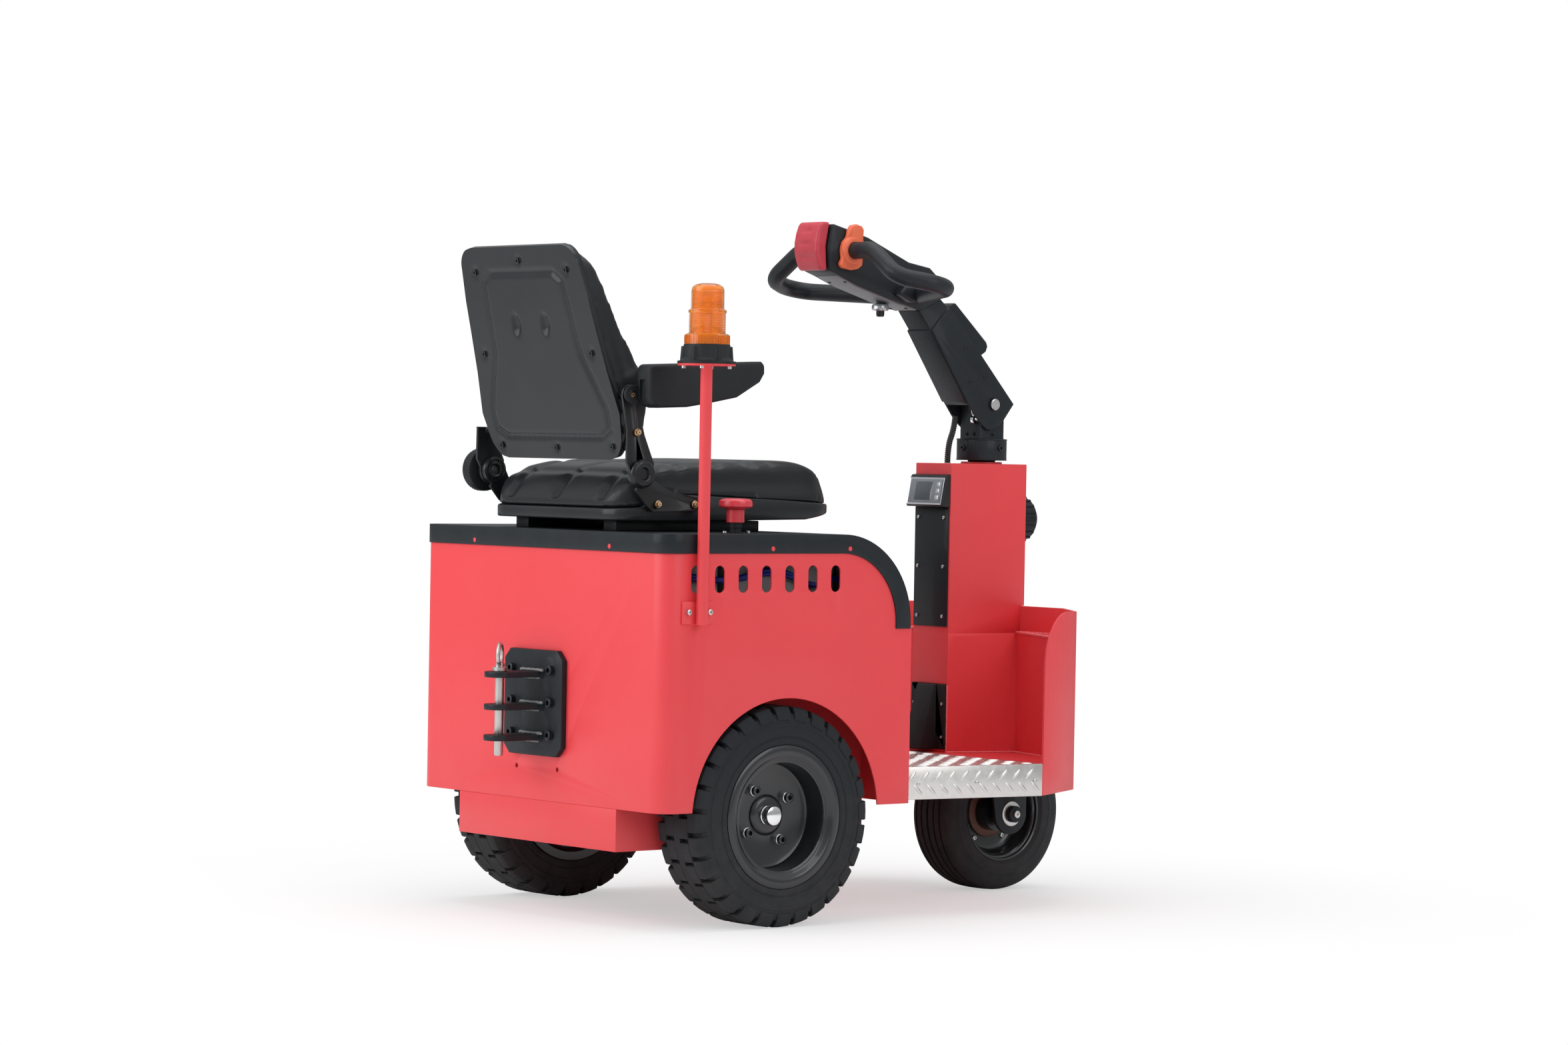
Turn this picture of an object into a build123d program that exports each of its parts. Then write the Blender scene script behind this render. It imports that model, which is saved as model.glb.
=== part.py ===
from build123d import *
import os
from math import cos, sin, radians, sqrt

# Three-wheel ride-on electric tow tractor. Millimetres.
# While it is modelled, X points forward, Y to the left and Z up, with the
# rear axle at X = 0, the middle of the vehicle at Y = 0 and the floor at Z = 0.

os.makedirs("parts", exist_ok=True)

# Clearances
RUNNING_CLEARANCE = 0.1      # a shaft in its bore, on the radius
FACE_CLEARANCE = 0.3         # faces that slide past each other

# Sheet and plate
SHEET = 4.0
COVER_SHEET = 3.0
FRAME_PLATE = 5.0

# Rear wheels
REAR_TYRE_RADIUS = 207.5
REAR_WHEEL_MIDDLE_Y = 329.4
TREAD_HALF_WIDTH = 56.8
SIDEWALL_HALF_WIDTH = 65.1
SIDEWALL_RADIUS = 184.0
LUG_COUNT = 28
LUG_DEPTH = 12.0
LUG_GAP = 10.0
RIM_FLANGE_RADIUS = 134.0
RIM_LIP_RADIUS = 117.0
RIM_SEAT_RADIUS = 106.0
RIM_BARREL_RADIUS = 100.0
RIM_FLANGE = 7.0
RIM_DISC_DEPTH = 57.0        # from the tyre's outer side to the disc
RIM_DISC_THICKNESS = 8.0
WHEEL_BOSS_RADIUS = 38.5
WHEEL_BOSS_HEIGHT = 8.0
WHEEL_BOLT_CIRCLE_RADIUS = 56.5
WHEEL_BOLT_RADIUS = 10.0
HUB_CAP_RADIUS = 19.0
HUB_CAP_LENGTH = 20.0
AXLE_RADIUS = 15.0

# Rear body
BODY_REAR = -286.0
BODY_FRONT = 309.0
BODY_HALF_WIDTH = 388.5
BODY_BOTTOM = 222.0
BODY_TOP = 732.0
BODY_CORNER_RADIUS = 38.0
NOSE_FRONT = 301.0
NOSE_RADIUS = 165.0
NOSE_STRIP_BOTTOM = 556.0
ARCH_CENTRE_X = 8.6
ARCH_CENTRE_Z = 206.1
ARCH_RADIUS = 222.9
VENT_COUNT = 7
VENT_FIRST_X = -214.5
VENT_PITCH = 55.5
VENT_WIDTH = 22.0
VENT_BOTTOM = 626.8
VENT_TOP = 676.8
COVER_SKIRT_DEPTH = 36.0
CHASSIS_HALF_WIDTH = 251.0
CHASSIS_BOTTOM = 142.6
DECK_TOP = 440.0
REAR_HOLE_RADIUS = 4.5
REAR_HOLE_Y = 65.0
REAR_HOLE_Z = 283.0

# Battery and drive
BATTERY_LENGTH = 520.0
BATTERY_HALF_WIDTH = 300.0
BATTERY_HEIGHT = 245.0
AXLE_TUBE_RADIUS = 32.0
AXLE_FLANGE_RADIUS = 52.0
DRIVE_HOUSING_RADIUS = 60.0
MOTOR_RADIUS = 58.0
MOTOR_LENGTH = 180.0

# Tow hitch
HITCH_HALF_WIDTH = 92.0
HITCH_BOTTOM = 307.0
HITCH_TOP = 507.0
HITCH_PLATE = 12.0
HITCH_CORNER = 18.0
TONGUE_LEVELS = (342.0, 400.0, 461.0)
TONGUE_THICKNESS = 11.0
TONGUE_TIP_RADIUS = 29.0
PIN_X = -375.0
PIN_RADIUS = 8.5
PIN_BOTTOM = 308.0
PIN_RING_Z = 498.0

# Front deck, shield and wheel box
FLOOR_TOP = 286.0
TREAD_PLATE = 3.0
SKIRT_BOTTOM = 226.0
DECK_REAR_HALF_WIDTH = 360.0
EAR_REAR_X = 640.0
EAR_REAR_Y = 405.0
EAR_FRONT_X = 805.0
EAR_FRONT_Y = 314.0
SHIELD_FRONT_X = 893.0
SHIELD_FRONT_HALF_WIDTH = 183.0
SHIELD_TOP = 581.0
EAR_CURVE_RADIUS = 115.0
LEDGE_TOP = 526.0
ARCH_HALF_WIDTH = 176.0
ARCH_TOP = 352.0

# Steering column
COLUMN_REAR_X = 694.0
COLUMN_FRONT_X = 899.0
COLUMN_HALF_WIDTH = 54.5
COLUMN_TOP = 870.0
STEER_X = 823.0

# Front wheel and fork
FRONT_TYRE_RADIUS = 158.6
FRONT_TYRE_WIDTH = 119.0
FRONT_TYRE_SHOULDER = 25.0
FRONT_RIM_RADIUS = 92.0
FRONT_WHEEL_X = 852.1
FRONT_GROOVES = 4
FRONT_GROOVE_WIDTH = 5.0
FRONT_GROOVE_DEPTH = 6.0
FRONT_HUB_RADIUS = 38.0
FRONT_AXLE_RADIUS = 10.0
FORK_INNER_Y = 70.0
FORK_PLATE = 8.0
FORK_END_RADIUS = 42.0
FORK_CROWN_BOTTOM = 332.0
FORK_CROWN_PLATE = 12.0
TURN_RADIUS_LOW = 86.0       # what the fork may sweep inside the wheel box, at the floor
TURN_RADIUS_HIGH = 76.0      # and at its crown
STEM_RADIUS = 28.0
COLLAR_RADIUS = 51.0
COLLAR_BOTTOM = 877.0
COLLAR_TOP = 921.0
YOKE_HALF = 31.5

# Tiller
TILLER_PIVOT_X = 820.0
TILLER_PIVOT_Z = 991.0
TILLER_PIN_RADIUS = 9.0
ARM_HALF_WIDTH = 38.0
ARM_PLATE = 5.0
HEAD_HALF_WIDTH = 42.0
HANDLE_RADIUS = 17.0
HANDLE_BEND_RADIUS = 50.0
HANDLE_ROOT_X = 427.0
HANDLE_ROOT_Z = 1288.0

# Seat
SEAT_HINGE_X = -231.5
SEAT_HINGE_Z = 843.0
SEAT_HALF_WIDTH = 222.0
SEAT_REAR_X = -262.0
SEAT_FRONT_X = 268.0
SEAT_PAN_BOTTOM = 755.0
SEAT_CORNER_RADIUS = 70.0
HINGE_PLATE_Y = 230.0
HINGE_PLATE = 6.0
HINGE_PIN_RADIUS = 8.0
RECLINE = 15.8
BACK_BASE_X = -248.0
BACK_BASE_Z = 867.0
BACK_LENGTH = 413.0
BACK_PAN_DEPTH = 12.0
ARMREST_PIVOT_X = -262.0
ARMREST_PIVOT_Z = 990.0
ARMREST_WIDTH = 46.0
RECLINER_COVER_RADIUS = 41.0

# Beacon and stop switch
POST_X = -211.0
POST_RADIUS = 11.0
POST_BOTTOM = 568.5
BEACON_PLATE_TOP = 1047.6
STOP_X = -55.0
STOP_Y = -300.0


def block(x0, x1, y0, y1, z0, z1):
    """A box given by its corners."""
    size = Box(x1 - x0, y1 - y0, z1 - z0)
    return Pos((x0 + x1) / 2, (y0 + y1) / 2, (z0 + z1) / 2) * size


def side_plate(outline, y0, y1):
    """A face drawn in X and Z, given a thickness from y0 to y1."""
    face = Plane.XZ * outline
    return Pos(0, y1, 0) * extrude(face, y1 - y0, dir=(0, -1, 0))


def flat_plate(outline, z0, z1):
    """A face drawn in X and Y, given a thickness from z0 to z1."""
    return Pos(0, 0, z0) * extrude(outline, z1 - z0, dir=(0, 0, 1))


def rod_y(radius, x, z, y0, y1):
    """A round bar that lies across the vehicle."""
    return Pos(x, (y0 + y1) / 2, z) * Rot(90, 0, 0) * Cylinder(radius, y1 - y0)


def rod_z(radius, x, y, z0, z1):
    """An upright round bar."""
    return Pos(x, y, (z0 + z1) / 2) * Cylinder(radius, z1 - z0)


def rod_x(radius, y, z, x0, x1):
    """A round bar that lies along the vehicle."""
    return Pos((x0 + x1) / 2, y, z) * Rot(0, 90, 0) * Cylinder(radius, x1 - x0)


def both_sides(piece):
    """The piece and its mirror image across the middle of the vehicle."""
    return piece + mirror(piece, Plane.XZ)


def turned(outline):
    """A profile drawn with the radius along X and the axle along Y, turned round the axle."""
    return revolve(outline, Axis.Y, 360)


def polygon(points):
    return Polygon(*points, align=None)


def moved_in(points, distance):
    """The corners of a closed outline, run anticlockwise, with every side moved inwards."""
    result = []
    count = len(points)
    for index in range(count):
        x0, y0 = points[index - 1]
        x1, y1 = points[index]
        x2, y2 = points[(index + 1) % count]
        before = sqrt((x1 - x0) ** 2 + (y1 - y0) ** 2)
        after = sqrt((x2 - x1) ** 2 + (y2 - y1) ** 2)
        nx0, ny0 = -(y1 - y0) / before, (x1 - x0) / before
        nx1, ny1 = -(y2 - y1) / after, (x2 - x1) / after
        reach = distance / (1 + nx0 * nx1 + ny0 * ny1)
        result.append((x1 + (nx0 + nx1) * reach, y1 + (ny0 + ny1) * reach))
    return result


# Rear wheels: cushion tyre with lugs on a dished steel rim.

REAR_OUTER_Y = REAR_WHEEL_MIDDLE_Y + SIDEWALL_HALF_WIDTH
REAR_INNER_Y = REAR_WHEEL_MIDDLE_Y - SIDEWALL_HALF_WIDTH
REAR_DISC_Y = REAR_OUTER_Y - RIM_DISC_DEPTH
WHEEL_BORE = AXLE_RADIUS + RUNNING_CLEARANCE


def rear_tyre():
    outer = REAR_TYRE_RADIUS
    tread_outer = REAR_WHEEL_MIDDLE_Y + TREAD_HALF_WIDTH
    tread_inner = REAR_WHEEL_MIDDLE_Y - TREAD_HALF_WIDTH
    section = polygon([
        (RIM_SEAT_RADIUS, REAR_INNER_Y + RIM_FLANGE),
        (RIM_FLANGE_RADIUS, REAR_INNER_Y + RIM_FLANGE),
        (RIM_FLANGE_RADIUS, REAR_INNER_Y),
        (SIDEWALL_RADIUS, REAR_INNER_Y),
        (outer, tread_inner),
        (outer, tread_outer),
        (SIDEWALL_RADIUS, REAR_OUTER_Y),
        (RIM_FLANGE_RADIUS, REAR_OUTER_Y),
        (RIM_FLANGE_RADIUS, REAR_OUTER_Y - RIM_FLANGE),
        (RIM_SEAT_RADIUS, REAR_OUTER_Y - RIM_FLANGE),
    ])
    tyre = turned(section)
    slot_length = TREAD_HALF_WIDTH * 0.8
    half_step = 180 / LUG_COUNT
    slots = []
    for index in range(LUG_COUNT):
        angle = index * 2 * half_step
        slot = Box(LUG_DEPTH * 2, slot_length * 2, LUG_GAP)
        slots.append(Rot(0, angle, 0) * Pos(outer, tread_outer, 0) * slot)
        slots.append(Rot(0, angle + half_step, 0) * Pos(outer, tread_inner, 0) * slot)
    tyre = tyre - slots
    return Pos(0, 0, REAR_TYRE_RADIUS) * tyre


def rear_rim():
    disc_inner = REAR_DISC_Y - RIM_DISC_THICKNESS
    flange = RIM_FLANGE + 1
    section = polygon([
        (WHEEL_BORE, disc_inner),
        (RIM_BARREL_RADIUS, disc_inner),
        (RIM_BARREL_RADIUS, REAR_INNER_Y + flange),
        (RIM_LIP_RADIUS, REAR_INNER_Y),
        (RIM_FLANGE_RADIUS, REAR_INNER_Y),
        (RIM_FLANGE_RADIUS, REAR_INNER_Y + RIM_FLANGE),
        (RIM_SEAT_RADIUS, REAR_INNER_Y + RIM_FLANGE),
        (RIM_SEAT_RADIUS, REAR_OUTER_Y - RIM_FLANGE),
        (RIM_FLANGE_RADIUS, REAR_OUTER_Y - RIM_FLANGE),
        (RIM_FLANGE_RADIUS, REAR_OUTER_Y),
        (RIM_LIP_RADIUS, REAR_OUTER_Y),
        (RIM_BARREL_RADIUS, REAR_OUTER_Y - flange),
        (RIM_BARREL_RADIUS, REAR_DISC_Y),
        (WHEEL_BOSS_RADIUS, REAR_DISC_Y),
        (WHEEL_BOSS_RADIUS, REAR_DISC_Y + WHEEL_BOSS_HEIGHT),
        (WHEEL_BORE, REAR_DISC_Y + WHEEL_BOSS_HEIGHT),
    ])
    rim = turned(section)
    bolts = []
    for index in range(4):
        angle = 34 + index * 90
        bolt = rod_y(WHEEL_BOLT_RADIUS, WHEEL_BOLT_CIRCLE_RADIUS, 0, REAR_DISC_Y, REAR_DISC_Y + 14)
        bolts.append(Rot(0, angle, 0) * bolt)
    rim = rim + bolts
    return Pos(0, 0, REAR_TYRE_RADIUS) * rim


def hub_cap():
    start = REAR_DISC_Y + WHEEL_BOSS_HEIGHT
    end = start + HUB_CAP_LENGTH
    section = polygon([
        (0, start + 3),
        (AXLE_RADIUS, start + 3),
        (AXLE_RADIUS, start),
        (HUB_CAP_RADIUS, start),
        (HUB_CAP_RADIUS, end - 7),
        (HUB_CAP_RADIUS - 4, end - 2),
        (0, end),
    ])
    return Pos(0, 0, REAR_TYRE_RADIUS) * turned(section)


# Front wheel: ribbed tyre on a small rim.

def front_tyre():
    half = FRONT_TYRE_WIDTH / 2
    section = polygon([
        (FRONT_RIM_RADIUS, -half + 12),
        (FRONT_RIM_RADIUS + 12, -half),
        (FRONT_TYRE_RADIUS, -half),
        (FRONT_TYRE_RADIUS, half),
        (FRONT_RIM_RADIUS + 12, half),
        (FRONT_RIM_RADIUS, half - 12),
    ])
    outer_corners = section.vertices().group_by(Axis.X)[-1]
    section = fillet(outer_corners, FRONT_TYRE_SHOULDER)
    spacing = (FRONT_TYRE_WIDTH - FRONT_TYRE_SHOULDER * 1.6) / FRONT_GROOVES
    for index in range(FRONT_GROOVES):
        offset = (index - (FRONT_GROOVES - 1) / 2) * spacing
        groove = Rectangle(FRONT_GROOVE_DEPTH * 2, FRONT_GROOVE_WIDTH)
        section = section - Pos(FRONT_TYRE_RADIUS, offset) * groove
    return Pos(FRONT_WHEEL_X, 0, FRONT_TYRE_RADIUS) * turned(section)


def front_rim():
    half = FRONT_TYRE_WIDTH / 2
    bore = FRONT_AXLE_RADIUS + RUNNING_CLEARANCE
    end = FORK_INNER_Y - FACE_CLEARANCE * 4
    wall = FRONT_RIM_RADIUS - 8
    section = polygon([
        (bore, -end),
        (22, -end),
        (FRONT_HUB_RADIUS, -half + 20),
        (FRONT_HUB_RADIUS, -4),
        (wall, -4),
        (wall, -half + 12),
        (FRONT_RIM_RADIUS, -half + 12),
        (FRONT_RIM_RADIUS, half - 12),
        (wall, half - 12),
        (wall, 4),
        (FRONT_HUB_RADIUS, 4),
        (FRONT_HUB_RADIUS, half - 20),
        (22, end),
        (bore, end),
    ])
    return Pos(FRONT_WHEEL_X, 0, FRONT_TYRE_RADIUS) * turned(section)


# Rear body: red sheet shell, black cover, chassis box.

NOSE_CENTRE_X = NOSE_FRONT - NOSE_RADIUS
NOSE_CENTRE_Z = BODY_TOP - NOSE_RADIUS


def body_profile(offset, bottom):
    """Side outline of the rear body up to the curved nose, moved out by the offset."""
    radius = NOSE_RADIUS + offset
    top = BODY_TOP + offset
    rear = BODY_REAR - offset
    front = NOSE_FRONT + offset
    middle = (NOSE_CENTRE_X + radius * cos(radians(45)), NOSE_CENTRE_Z + radius * sin(radians(45)))
    rear_line = Polyline((rear, bottom), (rear, top), (NOSE_CENTRE_X, top))
    nose = ThreePointArc((NOSE_CENTRE_X, top), middle, (front, NOSE_CENTRE_Z))
    front_line = Polyline((front, NOSE_CENTRE_Z), (front, bottom), (rear, bottom))
    return make_face([rear_line, nose, front_line])


def rear_corners(solid, radius):
    edges = solid.edges().filter_by(Axis.Z).group_by(Axis.X)[0]
    return fillet(edges, radius)


def rear_holes():
    """The two bolt holes through the rear wall below the hitch."""
    hole = rod_x(REAR_HOLE_RADIUS, REAR_HOLE_Y, REAR_HOLE_Z, BODY_REAR - 10, BODY_REAR + 20)
    return both_sides(hole)


def body_shell():
    half = BODY_HALF_WIDTH
    inner_half = half - SHEET
    outer = side_plate(body_profile(0, BODY_BOTTOM), -half, half)
    outer = outer + block(0, BODY_FRONT, -half, half, BODY_BOTTOM, NOSE_STRIP_BOTTOM)
    outer = rear_corners(outer, BODY_CORNER_RADIUS)
    inner = block(BODY_REAR + SHEET, BODY_FRONT - SHEET, -inner_half, inner_half, 0, BODY_TOP + 50)
    inner = rear_corners(inner, BODY_CORNER_RADIUS - SHEET)
    nose_opening = block(0, BODY_FRONT + 50, -inner_half, inner_half, NOSE_STRIP_BOTTOM, BODY_TOP + 50)
    shell = outer - inner - nose_opening
    reach = half + 20
    shell = shell - rod_y(ARCH_RADIUS, ARCH_CENTRE_X, ARCH_CENTRE_Z, -reach, reach)
    vents = []
    for index in range(VENT_COUNT):
        centre = Pos(VENT_FIRST_X + index * VENT_PITCH, (VENT_TOP + VENT_BOTTOM) / 2)
        outline = centre * SlotOverall(VENT_TOP - VENT_BOTTOM, VENT_WIDTH, rotation=90)
        vents.append(side_plate(outline, -reach, reach))
    return shell - vents - rear_holes()


def top_cover():
    half = BODY_HALF_WIDTH + COVER_SHEET
    outer = side_plate(body_profile(COVER_SHEET, BODY_BOTTOM), -half, half)
    outer = rear_corners(outer, BODY_CORNER_RADIUS + COVER_SHEET)
    inner = side_plate(body_profile(0, BODY_BOTTOM - 1), -BODY_HALF_WIDTH, BODY_HALF_WIDTH)
    inner = rear_corners(inner, BODY_CORNER_RADIUS)
    skirt_end = BODY_TOP + COVER_SHEET - COVER_SKIRT_DEPTH
    inset = side_plate(body_profile(COVER_SHEET - COVER_SKIRT_DEPTH, 0), -half * 2, half * 2)
    behind = block(BODY_REAR - 60, 0, -half * 2, half * 2, 0, skirt_end)
    below = block(BODY_REAR - 60, BODY_FRONT + 60, -half * 2, half * 2, 0, NOSE_STRIP_BOTTOM)
    return outer - inner - inset - behind - below


def chassis_box():
    half = CHASSIS_HALF_WIDTH
    wall = FRAME_PLATE
    rear = BODY_REAR + SHEET
    front = BODY_FRONT - SHEET
    outer = block(rear, front, -half, half, CHASSIS_BOTTOM, DECK_TOP - SHEET)
    foot = block(BODY_REAR, BODY_FRONT, -half, half, CHASSIS_BOTTOM, BODY_BOTTOM)
    hollow = block(
        rear + wall, front - wall, -half + wall, half - wall, CHASSIS_BOTTOM + wall, DECK_TOP,
    )
    hatch = block(-130, 130, -150, 150, CHASSIS_BOTTOM - 1, CHASSIS_BOTTOM + wall + 1)
    axle_hole = rod_y(AXLE_TUBE_RADIUS, 0, REAR_TYRE_RADIUS, -half - 10, half + 10)
    box = outer + foot - hollow - hatch - axle_hole
    deck_half = BODY_HALF_WIDTH - SHEET
    deck = block(rear, front, -deck_half, deck_half, DECK_TOP - SHEET, DECK_TOP)
    deck = rear_corners(deck, BODY_CORNER_RADIUS - SHEET)
    return box + deck - rear_holes()


def battery_pack():
    half = BATTERY_HALF_WIDTH
    start = -BATTERY_LENGTH / 2
    step_z = DECK_TOP + BATTERY_HEIGHT * 0.7
    pack = block(start, -start, -half, half, DECK_TOP, DECK_TOP + BATTERY_HEIGHT)
    return pack - block(NOSE_CENTRE_X, BODY_FRONT, -half - 1, half + 1, step_z, BODY_TOP)


def drive_unit():
    end = REAR_DISC_Y - RIM_DISC_THICKNESS - FACE_CLEARANCE
    height = REAR_TYRE_RADIUS
    housing_half = DRIVE_HOUSING_RADIUS
    tube = rod_y(AXLE_TUBE_RADIUS, 0, height, -end, end)
    housing = rod_y(DRIVE_HOUSING_RADIUS, 0, height, -housing_half, housing_half)
    flange = rod_y(AXLE_FLANGE_RADIUS, 0, height, end - 20, end)
    spindle = rod_y(AXLE_RADIUS, 0, height, end - 20, REAR_DISC_Y + WHEEL_BOSS_HEIGHT)
    motor = rod_x(MOTOR_RADIUS, 0, height, 0, DRIVE_HOUSING_RADIUS + MOTOR_LENGTH)
    return tube + housing + motor + both_sides(flange + spindle)


# Front deck, shield and wheel box.

def deck_edge(x):
    """Half width of the deck at a place along the vehicle."""
    share = (x - BODY_FRONT) / (EAR_REAR_X - BODY_FRONT)
    return DECK_REAR_HALF_WIDTH + share * (EAR_REAR_Y - DECK_REAR_HALF_WIDTH)


def deck_outline(x0, x1, outset):
    return polygon([
        (x0, -deck_edge(x0) - outset), (x1, -deck_edge(x1) - outset),
        (x1, deck_edge(x1) + outset), (x0, deck_edge(x0) + outset),
    ])


def shield_points(rear_x):
    """Plan of the shield, with its ears carried back to rear_x."""
    slope = (EAR_REAR_Y - EAR_FRONT_Y) / (EAR_FRONT_X - EAR_REAR_X)
    rear_y = EAR_REAR_Y + (EAR_REAR_X - rear_x) * slope
    return [
        (rear_x, -rear_y), (EAR_FRONT_X, -EAR_FRONT_Y),
        (SHIELD_FRONT_X, -SHIELD_FRONT_HALF_WIDTH), (SHIELD_FRONT_X, SHIELD_FRONT_HALF_WIDTH),
        (EAR_FRONT_X, EAR_FRONT_Y), (rear_x, rear_y),
    ]


BOX_FOOT = [(COLUMN_REAR_X, -COLUMN_HALF_WIDTH), (834.0, -108.0), (743.0, -400.0)]
BOX_HEAD = [(COLUMN_REAR_X, -COLUMN_HALF_WIDTH), (878.0, -COLUMN_HALF_WIDTH), (721.0, -423.0)]
BOX_REACH = 1000.0


def box_outline(right_side, inset):
    """Plan of the wheel box at one level, carried forward past the shield."""
    ahead = [(BOX_REACH, right_side[2][1]), (BOX_REACH, -right_side[2][1])]
    left_side = [(x, -y) for x, y in reversed(right_side)]
    points = moved_in(right_side + ahead + left_side, inset)
    return polygon(points)


def box_block(inset, z0, z1):
    foot = Pos(0, 0, z0) * box_outline(BOX_FOOT, inset)
    head = Pos(0, 0, z1) * box_outline(BOX_HEAD, inset)
    return loft([foot, head], ruled=True)


def wheel_box():
    inner_shield = polygon(moved_in(shield_points(EAR_REAR_X), FRAME_PLATE))
    outer = box_block(0, FLOOR_TOP, LEDGE_TOP) & flat_plate(inner_shield, FLOOR_TOP, LEDGE_TOP)
    inner = box_block(SHEET, FLOOR_TOP - 1, LEDGE_TOP - SHEET)
    inside = COLUMN_HALF_WIDTH - SHEET
    shaft = block(
        COLUMN_REAR_X + SHEET, SHIELD_FRONT_X - FRAME_PLATE - SHEET, -inside, inside,
        LEDGE_TOP - SHEET * 2, LEDGE_TOP + 1,
    )
    return outer - inner - shaft


def front_frame():
    under = FLOOR_TOP - FRAME_PLATE
    deck_plan = deck_outline(BODY_FRONT, EAR_REAR_X, 0)
    floor = flat_plate(deck_plan + polygon(shield_points(EAR_REAR_X)), under, FLOOR_TOP)
    skirt_outer = flat_plate(deck_plan, SKIRT_BOTTOM, FLOOR_TOP)
    skirt_inner = flat_plate(deck_outline(BODY_FRONT - 1, EAR_REAR_X + 1, -FRAME_PLATE), 0, FLOOR_TOP)
    shield_outer = flat_plate(polygon(shield_points(EAR_REAR_X)), SKIRT_BOTTOM, SHIELD_TOP)
    inner_points = moved_in(shield_points(EAR_REAR_X - 60), FRAME_PLATE)
    shield_inner = flat_plate(polygon(inner_points), 0, SHIELD_TOP + 1)
    frame = floor + (skirt_outer - skirt_inner) + (shield_outer - shield_inner)
    wide = EAR_REAR_Y + 50
    corner_x = EAR_REAR_X + EAR_CURVE_RADIUS
    corner_z = SHIELD_TOP - EAR_CURVE_RADIUS
    corner = block(EAR_REAR_X - 20, corner_x, -wide, wide, corner_z, SHIELD_TOP + 20)
    corner = corner - rod_y(EAR_CURVE_RADIUS, corner_x, corner_z, -wide, wide)
    opening = flat_plate(box_outline(BOX_FOOT, SHEET), under - 1, FLOOR_TOP + 1)
    opening = opening & flat_plate(polygon(moved_in(shield_points(EAR_REAR_X), FRAME_PLATE)), 0, SHIELD_TOP)
    arch = block(
        SHIELD_FRONT_X - 50, SHIELD_FRONT_X + 50, -ARCH_HALF_WIDTH, ARCH_HALF_WIDTH, 0, ARCH_TOP,
    )
    rail = block(BODY_FRONT, EAR_REAR_X, 150, 200, SKIRT_BOTTOM + 10, under)
    return frame - corner - opening - arch + both_sides(rail)


def tread_plate():
    rear = BODY_FRONT + 2
    front = EAR_REAR_X - 4
    top = flat_plate(deck_outline(rear, front, TREAD_PLATE), FLOOR_TOP, FLOOR_TOP + TREAD_PLATE)
    around = flat_plate(deck_outline(rear, front, TREAD_PLATE), SKIRT_BOTTOM, FLOOR_TOP)
    within = flat_plate(deck_outline(rear - 1, front + 1, 0), SKIRT_BOTTOM - 1, FLOOR_TOP + 1)
    return top + (around - within)


def column():
    half = COLUMN_HALF_WIDTH
    outer = block(COLUMN_REAR_X, COLUMN_FRONT_X, -half, half, SHIELD_TOP, COLUMN_TOP)
    neck = block(
        COLUMN_REAR_X, SHIELD_FRONT_X - FRAME_PLATE, -half, half, LEDGE_TOP, SHIELD_TOP,
    )
    hollow = block(
        COLUMN_REAR_X + SHEET, SHIELD_FRONT_X - FRAME_PLATE - SHEET, -half + SHEET, half - SHEET,
        LEDGE_TOP - 1, COLUMN_TOP - SHEET,
    )
    bearing = rod_z(STEM_RADIUS + 14, STEER_X, 0, COLUMN_TOP - 34, COLUMN_TOP + 4)
    bore = rod_z(STEM_RADIUS + RUNNING_CLEARANCE, STEER_X, 0, COLUMN_TOP - 40, COLUMN_TOP + 10)
    return outer + neck - hollow + bearing - bore


def column_panel():
    return block(COLUMN_REAR_X - COVER_SHEET, COLUMN_REAR_X, -51, 51, 540, 781)


def display():
    rear = COLUMN_REAR_X
    outline = polygon([
        (rear, 848), (rear - 12, 846), (rear - 14, 841), (rear - 25, 787), (rear - 24, 782),
        (rear, 782),
    ])
    return side_plate(outline, -54, 54)


def pedal_unit():
    rear = COLUMN_REAR_X - COVER_SHEET
    plate = block(rear, COLUMN_REAR_X, -53, 53, 292, 424)
    wedge = side_plate(polygon([(rear, 422), (rear - 5, 422), (rear - 42, 292), (rear, 292)]), -22, 31)
    return plate + wedge


def headlight():
    section = polygon([(0, 0), (30, 0), (48, 26), (48, 44), (0, 44)])
    lamp = revolve(section, Axis.Y, 360)
    return Pos(COLUMN_FRONT_X, 0, 758) * Rot(0, 0, -90) * lamp


# Steering: collar and yoke on the stem, fork below.

def steering_yoke():
    half = YOKE_HALF
    pin_end = ARM_HALF_WIDTH + FACE_CLEARANCE
    crown_top = FORK_CROWN_BOTTOM + FORK_CROWN_PLATE
    stem = rod_z(STEM_RADIUS, STEER_X, 0, crown_top, COLLAR_BOTTOM)
    collar = rod_z(COLLAR_RADIUS, STEER_X, 0, COLLAR_BOTTOM, COLLAR_TOP)
    yoke = block(STEER_X - half, STEER_X + half, -half, half, COLLAR_TOP, TILLER_PIVOT_Z)
    crown = rod_y(half, TILLER_PIVOT_X, TILLER_PIVOT_Z, -half, half)
    pin = rod_y(TILLER_PIN_RADIUS, TILLER_PIVOT_X, TILLER_PIVOT_Z, -pin_end, pin_end)
    head = rod_y(TILLER_PIN_RADIUS + 2.5, TILLER_PIVOT_X, TILLER_PIVOT_Z, pin_end, pin_end + 3)
    return stem + collar + yoke + crown + pin + both_sides(head)


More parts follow.
